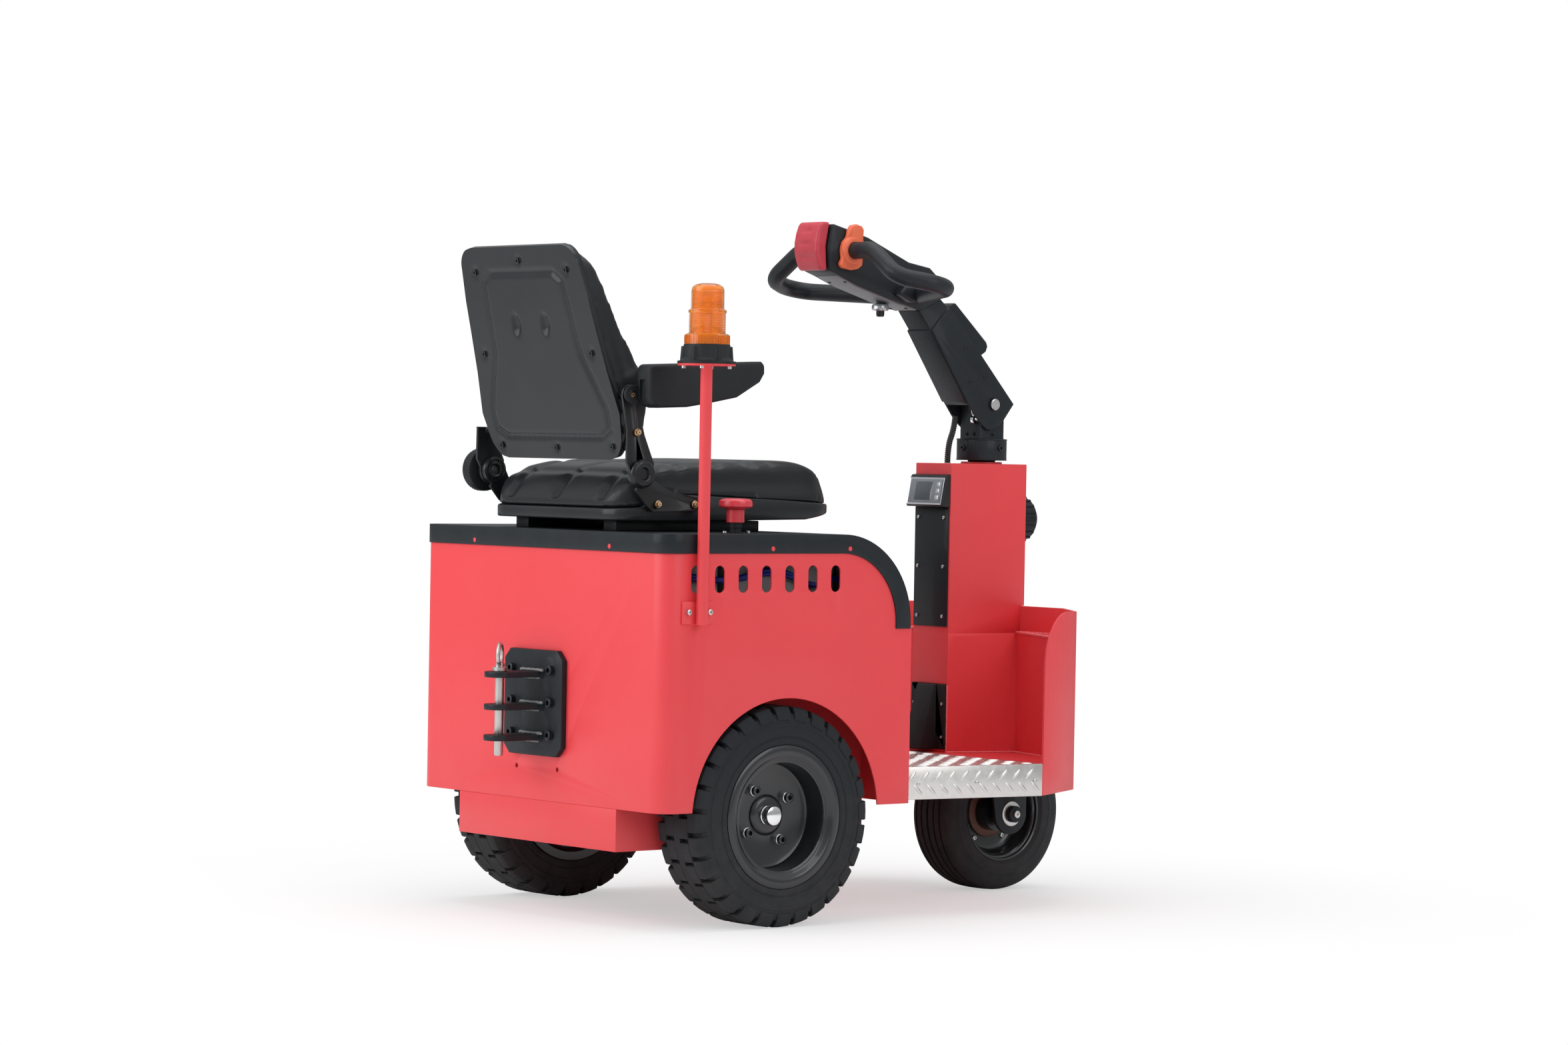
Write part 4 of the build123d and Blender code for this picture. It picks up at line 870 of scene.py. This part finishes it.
def upholstered(name, node, body, hold, seam_depth):
    """A cushion in its solid's place: blown up, made finer, then pressed in along its seams."""
    foam = skin_of(node)
    moved = blown_up(foam, hold)
    foam.modifiers.clear()
    shape = bmesh.new()
    shape.from_mesh(foam.data)
    for vertex, place in zip(shape.verts, moved):
        vertex.co = place
    bpy.data.objects.remove(foam)
    def smooth(points):
        bmesh.ops.smooth_vert(shape, verts=points, factor=0.5, use_axis_x=True, use_axis_y=True, use_axis_z=True)

    loose = [v for v in shape.verts if hold(v.co) > mm(0.5)]
    for turn in range(3):
        smooth(loose)
    bmesh.ops.subdivide_edges(shape, edges=shape.edges, cuts=1, use_grid_fill=True, smooth=0.6)
    smooth(shape.verts)
    shape.normal_update()
    for vertex in shape.verts:
        vertex.co += vertex.normal * -seam_depth(vertex.co, vertex.normal)
    piece = finished(name, shape, vinyl, body, [node], 80)
    return piece


def groove(distance, width, depth):
    """How far a seam draws the vinyl in at a distance from it."""
    return mm(depth) * exp(-(distance / mm(width)) ** 2)


def away_from(place, start, end):
    """Distance of a place from a run between two others, seen from above or from the front."""
    run = end - start
    share = max(0, min(1, (place - start).dot(run) / run.length_squared))
    return (place - start - run * share).length


# The seat's top has a sewn field of pillows behind, open towards the front edge, with deeper
# dents where the seams cross.

SEAM_Y = (-144, 0, 144)
SEAM_X = (-200, -112, -24, 64)


def seat_seams(place, normal):
    spot = (place - DRAWING_ZERO) * 1000
    if normal.z < 0.15:
        return groove(mm(abs(spot.z - 812 + 0.03 * (spot.x + 60))), 5, 1.6) if abs(normal.z) < 0.5 else 0
    flat = Vector((spot.x, spot.y, 0)) / 1000
    depth = 0
    for y in SEAM_Y:
        depth = max(depth, groove(away_from(flat, Vector((-0.262, mm(y), 0)), Vector((0.07, mm(y), 0))), 12, 7))
    for x in SEAM_X:
        across = away_from(flat, Vector((mm(x), -mm(190), 0)), Vector((mm(x), mm(190), 0)))
        depth = max(depth, groove(across, 12, 5.5))
        for y in SEAM_Y:
            depth = max(depth, groove((flat - Vector((mm(x), mm(y), 0))).length, 16, 10))
    return depth * min(1, max(0, normal.z * 1.6))


def seat_hold(place):
    lift = (place.z * 1000 - 800) / 25
    return mm(VINYL_SWELL) * max(0, min(1, lift)) * 0.7 + mm(0.4)


upholstered("seat_cushion_vinyl", "seat_cushion", "chassis", seat_hold, seat_seams)

# The backrest's front is sewn in three upright channels, crossed by three short seams.

BACK_LEAN = radians(15.8)
BACK_FOOT = at(-248, 0, 867)
BACK_UP = Vector((-sin(BACK_LEAN), 0, cos(BACK_LEAN)))
BACK_OUT = Vector((cos(BACK_LEAN), 0, sin(BACK_LEAN)))


def back_seams(place, normal):
    along = (place - BACK_FOOT).dot(BACK_UP) * 1000
    across = abs(place.y - DRAWING_ZERO.y) * 1000
    out = (place - BACK_FOOT).dot(BACK_OUT) * 1000
    if normal.dot(BACK_OUT) < 0.2:
        return groove(mm(abs(out - 30)), 4, 1.6) if abs(normal.dot(BACK_OUT)) < 0.5 else 0
    depth = groove(mm(abs(across - 60)), 9, 5.5) if 45 < along < 370 else 0
    for level in (120, 200, 280):
        if across < 62:
            depth = max(depth, groove(mm(abs(along - level)), 8, 3.5))
    return depth


def back_hold(place):
    out = (place - BACK_FOOT).dot(BACK_OUT) * 1000
    return mm(VINYL_SWELL) * max(0, min(1, (out - 16) / 22)) * 0.6 + mm(0.3)


upholstered("back_cushion_vinyl", "back_cushion", "backrest", back_hold, back_seams)


# Seat shell and back shell: black moulded panels. The back shell is pressed with a ridge round
# its field and two dimples, and is held by eight screws, each in its own small pit.

shell_plastic = mottled("seat_shell_black", (0.009, 0.0105, 0.0125), (0.022, 0.0245, 0.0275), (120, 3),
                        (0.33, 0.14, 120, 3), (1.3, 2, 0.03), Coat_Weight=0.3, Coat_Roughness=0.16,
                        Specular_IOR_Level=0.2)
dressed("seat_pan", 3.0, shell_plastic, "chassis")

BACK_LENGTH = 413.0
PAN_DEPTH = 12.0
PAN_CORNER = 42.0
PAN_WALL = 1.6
PAN_EDGE = [(18, 204), (88, 219), (168, 207), (245, 200), (310, 195), (372, 186)]
RIDGE_EDGE = [(44, 150), (60, 180), (97, 182), (150, 160), (200, 138), (232, 132), (300, 128), (345, 124),
              (363, 100)]
PAN_SCREWS = [(385, 0), (365, 145), (365, -145), (205, 171), (205, -171), (25, 176), (25, -176), (22, 0)]
DIMPLES = [(261, 46), (261, -46)]
RIDGE_LINE = []
for (a0, w0), (a1, w1) in zip(RIDGE_EDGE, RIDGE_EDGE[1:]):
    RIDGE_LINE += [(a0 + (a1 - a0) * step / 12, w0 + (w1 - w0) * step / 12) for step in range(12)]
for level, half in (RIDGE_EDGE[0], RIDGE_EDGE[-1]):
    RIDGE_LINE += [(level, half * step / 30) for step in range(31)]


def width_at(table, along):
    """Half width at a height, straight between the table's stations."""
    along = max(table[0][0], min(along, table[-1][0]))
    for (a, wide_a), (b, wide_b) in zip(table, table[1:]):
        if along <= b:
            return wide_a + (wide_b - wide_a) * ((along - a) / (b - a))


def pan_relief(along, across):
    """Height of the pressed relief behind the pan's flat, in millimetres."""
    near = min(hypot(along - a, abs(across) - wide) for a, wide in RIDGE_LINE)
    within = RIDGE_EDGE[0][0] < along < RIDGE_EDGE[-1][0] and abs(across) < width_at(RIDGE_EDGE, along)
    height = -3.4 * exp(-(near / 5.5) ** 2) + (1.4 * min(1, near / 12) if within else 0)
    for a, y in DIMPLES:
        height -= 7.5 * exp(-(((along - a) / 19) ** 2 + ((across - y) / 12) ** 2) ** 2)
    for a, y in PAN_SCREWS:
        height -= 3.4 * exp(-(hypot(along - a, across - y) / 9) ** 2)
    return height


pan = bmesh.new()
bmesh.ops.create_grid(pan, x_segments=110, y_segments=120, size=0.5)
for vertex in pan.verts:
    along = BACK_LENGTH * (vertex.co.y + 0.5)
    half = width_at(PAN_EDGE, along)
    tuck = max(0, PAN_CORNER - along, along - (BACK_LENGTH - PAN_CORNER))
    half -= PAN_CORNER - (PAN_CORNER ** 2 - tuck ** 2) ** 0.5 if tuck else 0
    across = vertex.co.x * 2 * half
    place = BACK_FOOT + BACK_UP * mm(along) + Vector((0, mm(across), 0))
    vertex.co = place - BACK_OUT * mm(pan_relief(along, across) - 2.6)
rim_edges = [edge for edge in pan.edges if edge.is_boundary]
for depth in (2.5, PAN_DEPTH - 2):
    grown = bmesh.ops.extrude_edge_only(pan, edges=rim_edges)
    bmesh.ops.translate(pan, verts=new_points(grown), vec=BACK_OUT * mm(depth))
    rim_edges = [e for e in grown["geom"] if isinstance(e, bmesh.types.BMEdge)]
bmesh.ops.recalc_face_normals(pan, faces=pan.faces)
back_shell = finished("back_shell", pan, shell_plastic, "backrest", ["back_pan"], 55)
wall = back_shell.modifiers.new("wall", "SOLIDIFY")
wall.thickness = mm(PAN_WALL)
wall.offset = -1
screws("back_shell_screws", screw_black, "backrest",
       [(BACK_FOOT + BACK_UP * mm(along) + Vector((0, mm(across), 0)) + BACK_OUT * mm(3.4), -BACK_OUT, 5.2, 2.6)
        for along, across in PAN_SCREWS])


# Reclining hinges: pressed black brackets with a round cover over each pivot, and yellow
# passivated bolts. The armrest swings up on the right bracket's head, and the left bracket
# ends below the edge of the backrest.

bracket_black = mottled("bracket_enamel", (0.006, 0.0068, 0.008), (0.013, 0.014, 0.016), (25, 3), (0.3, 0.14, 9),
                        Coat_Weight=0.3, Coat_Roughness=0.1, Specular_IOR_Level=0.25)
HINGE_FACE = 236.0
BRACKET_FACE = 242.3
BRACKET_END = at(0, 0, 926)
HINGE = at(-231.5, 0, 843)


def pressed(node, outer, body):
    """A bracket with a rim left standing round its outer faces, as if pressed in a die."""
    shape = softened(node, 0.0)
    if node == "back_brackets":
        left = [g for g in shape.verts if g.co.y > 0]
        left += [g for parts in (shape.edges, shape.faces) for g in parts if g.verts[0].co.y > 0]
        bmesh.ops.bisect_plane(shape, geom=left, dist=0.00001, plane_co=BRACKET_END, plane_no=UP, clear_outer=True)
        bmesh.ops.holes_fill(shape, edges=[e for e in shape.edges if e.is_boundary])
    shape.normal_update()
    for side, word in SIDES:
        faces = [f for f in shape.faces if f.normal.y * side > 0.99 and f.calc_area() > 0.00008
                 and abs((f.calc_center_median().y - DRAWING_ZERO.y) * side * 1000 - outer) < 0.6]
        bmesh.ops.inset_region(shape, faces=faces, thickness=mm(4.5), depth=mm(-2.0), use_even_offset=True)
    rounded(shape, sharp_edges(shape, 35), 0.9)
    finished(node + "_pressed", shape, bracket_black, body, [node])


pressed("seat_hinges", HINGE_FACE, "chassis")
pressed("back_brackets", BRACKET_FACE, "backrest")
yellow_zinc = mottled("yellow_passivate", (0.62, 0.44, 0.22), (0.72, 0.52, 0.36), (4, 3), (0.3, 0.12, 3), Metallic=1.0)
PIVOT_COVER = [(0, 2), (10, 2), (12.5, 6.5), (17, 7.5), (23.5, 6.8), (26.5, 4), (27.5, 0), (0, 0), (0, 2)]
seat_bolts = []
back_bolts = []
pivot_covers = bmesh.new()
for side, word in SIDES:
    outward = Vector((0, side, 0))
    for x, z in ((-189.9, 786.6), (-103.3, 786.7)):
        seat_bolts.append((at(x, side * HINGE_FACE, z), outward, 7.2, 3, 0.86))
        seat_bolts.append((at(x, side * HINGE_FACE, z), outward, 5.2, 7, 0.3, 6))
    for x, z in ((-261.6, 988.9), (-245.7, 920)) if side < 0 else ((-247, 908),):
        back_bolts.append((at(x, side * BRACKET_FACE, z), outward, 7.4, 3, 0.86))
        back_bolts.append((at(x, side * BRACKET_FACE, z), outward, 5.4, 7.5, 0.3, 6))
    middle = HINGE + Vector((0, mm(side * BRACKET_FACE), 0))
    add(pivot_covers, closed_turn(PIVOT_COVER, middle, axis=outward, steps=48))
screws("seat_bolts", yellow_zinc, "chassis", seat_bolts)
screws("backrest_bolts", yellow_zinc, "backrest", back_bolts)
finished("pivot_covers", pivot_covers, bracket_black, "backrest")
ARM_EDGE = [(-249, 1046), (-251, 1038), (-250.5, 985), (-243, 969.5), (-226, 965.6), (-160, 968.3), (-110, 976),
            (-43, 988.4), (11, 1018), (21.6, 1034), (22, 1052), (14, 1057.4)]


def cut_away(shape, cutter):
    """The bmesh less another one, cut by Blender's exact boolean."""
    objects = []
    for part in (shape, cutter):
        mesh = bpy.data.meshes.new("cut")
        part.to_mesh(mesh)
        part.free()
        objects.append(linked("cut", mesh))
    knife = objects[0].modifiers.new("knife", "BOOLEAN")
    knife.operation = "DIFFERENCE"
    knife.solver = "EXACT"
    knife.object = objects[1]
    result = bmesh.new()
    result.from_mesh(bpy.data.meshes.new_from_object(evaluated(objects[0])))
    for made in objects:
        bpy.data.objects.remove(made)
    return result


def plate(outline, y0, y1, width=0.0, segments=3):
    """A shape drawn in X and Z, thick from y0 to y1, with rounded edges."""
    shape = bmesh.new()
    face = shape.faces.new([shape.verts.new(at(x, y0, z)) for x, z in outline])
    made = bmesh.ops.extrude_face_region(shape, geom=[face])
    bmesh.ops.translate(shape, verts=new_points(made), vec=Vector((0, mm(y1 - y0), 0)))
    bmesh.ops.recalc_face_normals(shape, faces=shape.faces)
    if width:
        rounded(shape, [e for e in shape.edges if abs(e.calc_face_angle(0)) > radians(50)], width, segments)
    return shape


ARM_OUTSIDE = -288.4
ARM_INSIDE = -242.8
ARM_PIVOT = (-262, 990)
TAB_RADIUS = 17
rest = plate(ARM_EDGE, ARM_OUTSIDE, ARM_INSIDE, 8.5, 4)
rest = cut_away(rest, plate([(-258, 977), (-244, 977), (-244, 1018), (-258, 1018)], -272.4, -254.8, 1.5))
tab = [(ARM_PIVOT[0] + TAB_RADIUS * cos(radians(a)), ARM_PIVOT[1] + TAB_RADIUS * sin(radians(a)))
       for a in range(80, 281, 20)]
add(rest, plate(tab + [(-240, 973), (-240, 1007)], -248.4, ARM_INSIDE, 1.2))
finished("armrest_pad", rest, black_plastic, "right_armrest", ["armrest_right"], 40)

# On the left, where there is no armrest, a round cover hides the reclining gear.
DIAL = [(13, 243), (20, 242.6), (20, 255.4), (37, 255.4), (40.4, 257), (41, 260), (41, 277), (39.6, 281), (36, 283),
        (28, 283), (26.5, 280.8), (15, 280.8), (13.5, 283), (0, 283), (0, 249), (13, 249), (13, 243)]
GEAR = [(10, 230.3), (10, 226), (13, 224.8), (16, 226), (16, 228), (20, 228), (21.5, 225.6), (25, 226.4),
        (25.8, 230.3), (10, 230.3)]
cover = closed_turn(DIAL, HINGE, steps=72)
rib = bmesh.new()
block(rib, (1.6, 18, 2.2), Vector((40.6, 268, 0)) / 1000)
add_copies(cover, rib, around(HINGE, "Y", 40))
finished("recliner_dial", cover, black_plastic, "backrest", ["recliner_cover"], 30)
gear = closed_turn(GEAR, HINGE, steps=56)
for turn in around(HINGE, "Y", 6):
    block(gear, (5, 4, 4.4), Vector((18, 227.6, 0)) / 1000, turn)
finished("recliner_gear", gear, bracket_black, "chassis")


# Beacon: a hollow amber lens in fine rings over a ribbed drum, on a lobed black cup that is
# screwed to the post's round plate. A pale bulb stands inside.

BEACON = at(-211, -403.5, 0)
amber = mottled("amber_lens", (1.0, 0.36, 0.03), (1.0, 0.48, 0.08), (8, 3), (0.05, 0.08, 8, 3), IOR=1.3,
                Transmission_Weight=0.78, Coat_Weight=0.5)


def fine_rings(radius, start, end, pitch, half):
    """Points of a wall that steps in by a millimetre once in each pitch."""
    points = []
    while start < end:
        points += [(radius, start), (radius - 1, start + half)]
        start += pitch
    return points


lens_profile = [(38.5, 1083), (41.5, 1083), (41.5, 1099.5), (38, 1102), (34, 1103)]
lens_profile += fine_rings(34, 1104.0, 1140, 3.0, 1.5) + [(35, 1141), (35, 1145), (31.8, 1147)]
lens_profile += fine_rings(31, 1148.0, 1180, 2.4, 1.2)
lens_profile += [(30, 1183), (28, 1188), (22, 1192.5), (12, 1194.6), (0, 1195), (0, 1192.4), (20, 1189.5),
                 (26, 1184), (28, 1178), (28.4, 1147), (31, 1141), (31, 1105), (38.5, 1099), (38.5, 1083)]
finished("beacon_lens_amber", closed_turn(lens_profile, BEACON, axis=UP, steps=64), amber, "chassis",
         ["beacon_lens"], 20)
bulb_glass = mottled("bulb_glass", (0.85, 0.62, 0.42), (0.95, 0.8, 0.62), (6,), Roughness=0.25)
BULB = [(0, 1084), (24, 1084), (24, 1100), (14, 1104), (9, 1106), (9, 1140), (14, 1142), (14, 1146), (8, 1148),
        (7, 1164), (0, 1166), (0, 1084)]
finished("beacon_bulb", closed_turn(BULB, BEACON, axis=UP, steps=40), bulb_glass, "chassis")
ring_ribs = bmesh.new()
rib = bmesh.new()
block(rib, (1.6, 1.8, 15), Vector((41.3, 0, 1091)) / 1000)
add_copies(ring_ribs, rib, around(BEACON, "Z", 48))
finished("beacon_ring_ribs", ring_ribs, amber, "chassis")
CUP = [(0, 1047.6), (54, 1047.6), (54, 1052), (50, 1052.6), (46, 1056), (43, 1060), (43, 1081), (42, 1083),
       (0, 1083), (0, 1047.6)]
cup = closed_turn(CUP, BEACON, axis=UP, steps=64)
lobe = bmesh.new()
bmesh.ops.create_cone(lobe, cap_ends=True, segments=16, radius1=mm(8), radius2=mm(6), depth=mm(26),
                      matrix=Matrix.Translation((mm(41), 0, mm(1066))))
add_copies(cup, lobe, around(BEACON, "Z", 6, 20))
finished("beacon_cup", cup, black_plastic, "chassis", ["beacon_base"])
screws("beacon_screws", zinc, "chassis",
       [(BEACON + Vector((cos(radians(a)), sin(radians(a)), 0)) * mm(42) + UP * mm(1043.6), -UP, 4, 5)
        for a in (-140, -40, 40, 140)])


# Emergency stop: a red mushroom knob on a red neck over a black collar.

knob_red = mottled("knob_red", (0.72, 0.03, 0.05), (0.8, 0.05, 0.07), (12,), (0.3, 0.1, 4), Coat_Weight=0.3)
STOP = at(-55, -300, 0)
KNOB = [(0, 755), (16.8, 755), (16.8, 778), (20, 781), (28, 782), (31.4, 785), (32, 789), (31, 795), (27, 798.5),
        (18, 799.8), (12, 797.5), (0, 797)]
COLLAR = [(0, 735), (12.5, 735), (12.5, 738), (11, 739), (11, 744), (12.5, 745), (12.5, 755), (0, 755)]
finished("stop_button", closed_turn(KNOB, STOP, axis=UP), knob_red, "chassis", ["stop_knob"])
finished("stop_collar", closed_turn(COLLAR, STOP, axis=UP), black_plastic, "chassis", ["stop_base"])


# Steering collar and yoke: the collar is clamped by socket screws, the yoke carries the tiller's
# pivot, and small screws hold the yoke's cheeks. The fork's axle has a bright nut on each side.

STEM_AXIS = at(823, 0, 0)
yoke_screws = []
for angle in (-177.6, -85.7, 2, 94):
    outward = Vector((cos(radians(angle)), sin(radians(angle)), 0))
    yoke_screws.append((at(823, 0, 902.5) + outward * mm(50.6), outward, 6, 4.5))
for side, word in SIDES:
    yoke_screws.append((at(791.6, side * 11, 931), REAR, 3.4, 2.6))
    yoke_screws.append((at(854.4, side * 11, 931), AHEAD, 3.4, 2.6))
    yoke_screws += [(at(x, side * 31.4, z), RIGHT * -side, 3.2, 2.4) for x, z in ((825, 931), (836, 952))]
screws("yoke_screws", screw_black, "steering", yoke_screws)
collar_edges = bmesh.new()
for low, high in ((877.2, 880), (918, 920.8)):
    add(collar_edges, closed_turn([(50.8, low), (51.9, low + 0.8), (51.9, high - 0.8), (50.8, high), (50.8, low)],
                                  STEM_AXIS, axis=UP, steps=72))
finished("collar_edges", collar_edges, slate, "steering")
WASHER = [(17, 78.2), (25, 78.2), (25, 80.4), (24, 81), (17, 81), (17, 78.2)]
fork_nuts = bmesh.new()
for side, word in SIDES:
    outward = Vector((0, side, 0))
    socket_screw(fork_nuts, FRONT_AXLE + outward * mm(94), outward, 7.5, 4, 0.3)
    add(fork_nuts, closed_turn(WASHER, FRONT_AXLE, axis=outward, steps=40))
finished("fork_nuts", fork_nuts, zinc, "steering")


# Tiller arm: a folded channel of black sheet, closed behind by a screwed cover and boxed in
# front. A gas spring inside holds it up, and its pivot shows as a bright disc on each side.

PIVOT = at(820, 0, 991)
ARM_FACE = 37.8
COVER_FACING = Vector((-0.823, 0, -0.568))
dressed("tiller_arm", 2.0, slate, "tiller")
finished("arm_front_box", plate([(698.5, 1187), (786.5, 1090.5), (800.5, 1098), (805, 1109), (800, 1117.5),
                                 (717, 1193), (711, 1193.6)], -33.6, 33.6, 2.2), slate, "tiller")
finished("arm_front_lid", plate([(715.5, 1193.2), (803, 1115), (804.3, 1116.4), (716.6, 1194.6)], -31, 31, 0.5, 2),
         silver_trim, "tiller")
screws("arm_cover_screws", zinc, "tiller",
       [(at(x, y, z) - COVER_FACING * mm(4.0), COVER_FACING, 3.8, 6.2)
        for x, z in ((676, 1101), (734, 1024)) for y in (-24, 24)])
screws("arm_side_screws", screw_black, "tiller",
       [(at(x, side * ARM_FACE, z), Vector((0, side, 0)), 4.2, 1.2, 0.7)
        for side, word in SIDES for x, z in ((755, 1037), (796, 1047), (742, 1105))])
DISC = [(0, 41), (9.5, 41), (11.5, 41.2), (11.6, 43.6), (10.4, 45), (0, 45.2), (0, 41)]
pivot_discs = bmesh.new()
for side, word in SIDES:
    add(pivot_discs, closed_turn(DISC, PIVOT, axis=Vector((0, side, 0)), steps=40))
finished("pivot_discs", pivot_discs, zinc, "steering")
SPRING_EYE = at(785, -20, 960)
EYE = [(4.2, -4), (8.6, -4), (9.4, -3), (9.4, 3), (8.6, 4), (4.2, 4), (4.2, -4)]
BARREL = [(4.2, 36), (8, 37), (9.5, 40), (9.5, 112), (0, 114), (0, 36), (4.2, 36)]
spring_up = (at(752, -20, 1075) - SPRING_EYE).normalized()
spring = bmesh.new()
add(spring, closed_turn([(0, 9), (4, 9), (4, 42), (0, 42)], SPRING_EYE, axis=spring_up, steps=24))
add(spring, closed_turn(EYE, SPRING_EYE, steps=32))
finished("gas_spring_rod", spring, chrome, "tiller")
finished("gas_spring_barrel", closed_turn(BARREL, SPRING_EYE, axis=spring_up, steps=32), screw_black, "tiller")


# Tiller head: a moulded dark housing with flat facets, a lighter lid screwed on below, and one
# loop handle on each side, moulded over steel tube. A key switch hangs below it.

head_plastic = mottled("head_plastic", (0.0105, 0.0125, 0.0155), (0.019, 0.0215, 0.0255), (50, 3), (0.44, 0.12, 6),
                       Coat_Weight=0.1, Specular_IOR_Level=0.25)
head_plastic.relief(head_plastic.cells(0.8), 0.045)
pale_plastic = mottled("pale_grey_plastic", (0.16, 0.165, 0.175), (0.22, 0.225, 0.235), (30,), (0.42, 0.12, 5))
dressed("tiller_head", 4.0, head_plastic, "tiller")
dressed("tiller_handles", 0.8, head_plastic, "tiller")
finished("head_lid", plate([(404, 1237.2), (452, 1218), (557, 1187.8), (612, 1175.4), (613, 1180), (558, 1194),
                            (453, 1224), (406, 1242)], -33, 33, 1.6), pale_plastic, "tiller")
LID_FACING = Vector((-0.28, 0, -0.96)).normalized()
screws("head_screws", screw_black, "tiller",
       [(at(x, y, z + 1.5), LID_FACING, 3.6, 2.6) for x, z in ((432, 1226.5), (592, 1179.8)) for y in (-24, 24)])
WEB = [(540, 1206), (572, 1191), (604, 1189), (622, 1198), (618, 1214), (596, 1224), (556, 1222)]
for side, word in SIDES:
    finished("handle_web_" + word, plate(WEB, *sorted((side * 30, side * 66)), 5, 3), head_plastic, "tiller")
KEY = at(545, 0, 0)
KEY_RING = [(8.4, 1173), (15, 1173.6), (17.4, 1176.5), (17.4, 1183), (15.6, 1186), (8.4, 1188), (8.4, 1173)]
KEY_STEM = [(0, 1161.5), (6.4, 1161.5), (7.6, 1163), (8.3, 1166), (8.3, 1196), (0, 1196), (0, 1161.5)]
finished("key_ring", closed_turn(KEY_RING, KEY, axis=UP, steps=48), silver_trim, "tiller")
finished("key_stem", closed_turn(KEY_STEM, KEY, axis=UP, steps=32), screw_black, "tiller")

THROTTLE_AXIS = at(427, 0, 1288)
throttle_orange = mottled("throttle_orange", (0.86, 0.135, 0.05), (0.93, 0.19, 0.08), (12, 3), (0.4, 0.12, 4),
                          Coat_Weight=0.12)
THROTTLE_HUB = [(17.2, 43), (27, 43), (29, 46), (28, 55), (24, 57.6), (19, 58.4), (17.2, 58.4), (17.2, 43)]
THROTTLE_EDGE = [(394, 1260), (398, 1253), (408, 1251.5), (424, 1249), (440, 1252), (450, 1259), (452, 1270),
                 (456.3, 1288), (455, 1300), (452, 1312), (453, 1330), (448, 1337), (434, 1340.5), (422, 1338),
                 (416, 1330), (412, 1315), (402, 1304), (398, 1288), (400, 1272)]
for side, word in SIDES:
    lever = plate(THROTTLE_EDGE, *sorted((side * 42.5, side * 56.5)), 4.5, 4)
    for vertex in lever.verts:
        spot = (vertex.co - THROTTLE_AXIS) * 1000
        reach = hypot(spot.x, spot.z)
        if abs(spot.y) > 48:
            vertex.co.y -= side * mm(5.0 * exp(-((reach - 24) / 7) ** 2) * (1 if spot.x < 0 else 0.4))
    add(lever, closed_turn(THROTTLE_HUB, THROTTLE_AXIS, axis=Vector((0, side, 0)), steps=48))
    finished("throttle_" + word, lever, throttle_orange, "tiller", ["throttle"], 60)

BUTTON_EDGE = [(362, 1343), (356.5, 1336), (350.5, 1320), (347, 1302), (347.2, 1284), (352, 1266), (358, 1252),
               (362, 1247), (376, 1247), (374, 1270), (372.5, 1295), (377, 1320), (381.5, 1343)]
raspberry = mottled("belly_button_red", (0.50, 0.028, 0.050), (0.60, 0.05, 0.075), (18, 3), (0.4, 0.12, 5),
                    Coat_Weight=0.1)
button = plate(BUTTON_EDGE, -36, 36, 5, 4)
bmesh.ops.triangulate(button, faces=[f for f in button.faces if len(f.verts) > 4])
bmesh.ops.subdivide_edges(button, edges=[e for e in button.edges if e.calc_length() > mm(8)], cuts=7,
                          use_grid_fill=True)
for vertex in button.verts:
    spot = (vertex.co - DRAWING_ZERO) * 1000
    if spot.x < 366:
        for level in (1325, 1300, 1272):
            vertex.co.x += mm(2.6 * exp(-((spot.y / 15) ** 4) - ((spot.z - level) / 5) ** 2))
finished("belly_button_red", button, raspberry, "tiller", ["belly_button"], 60)
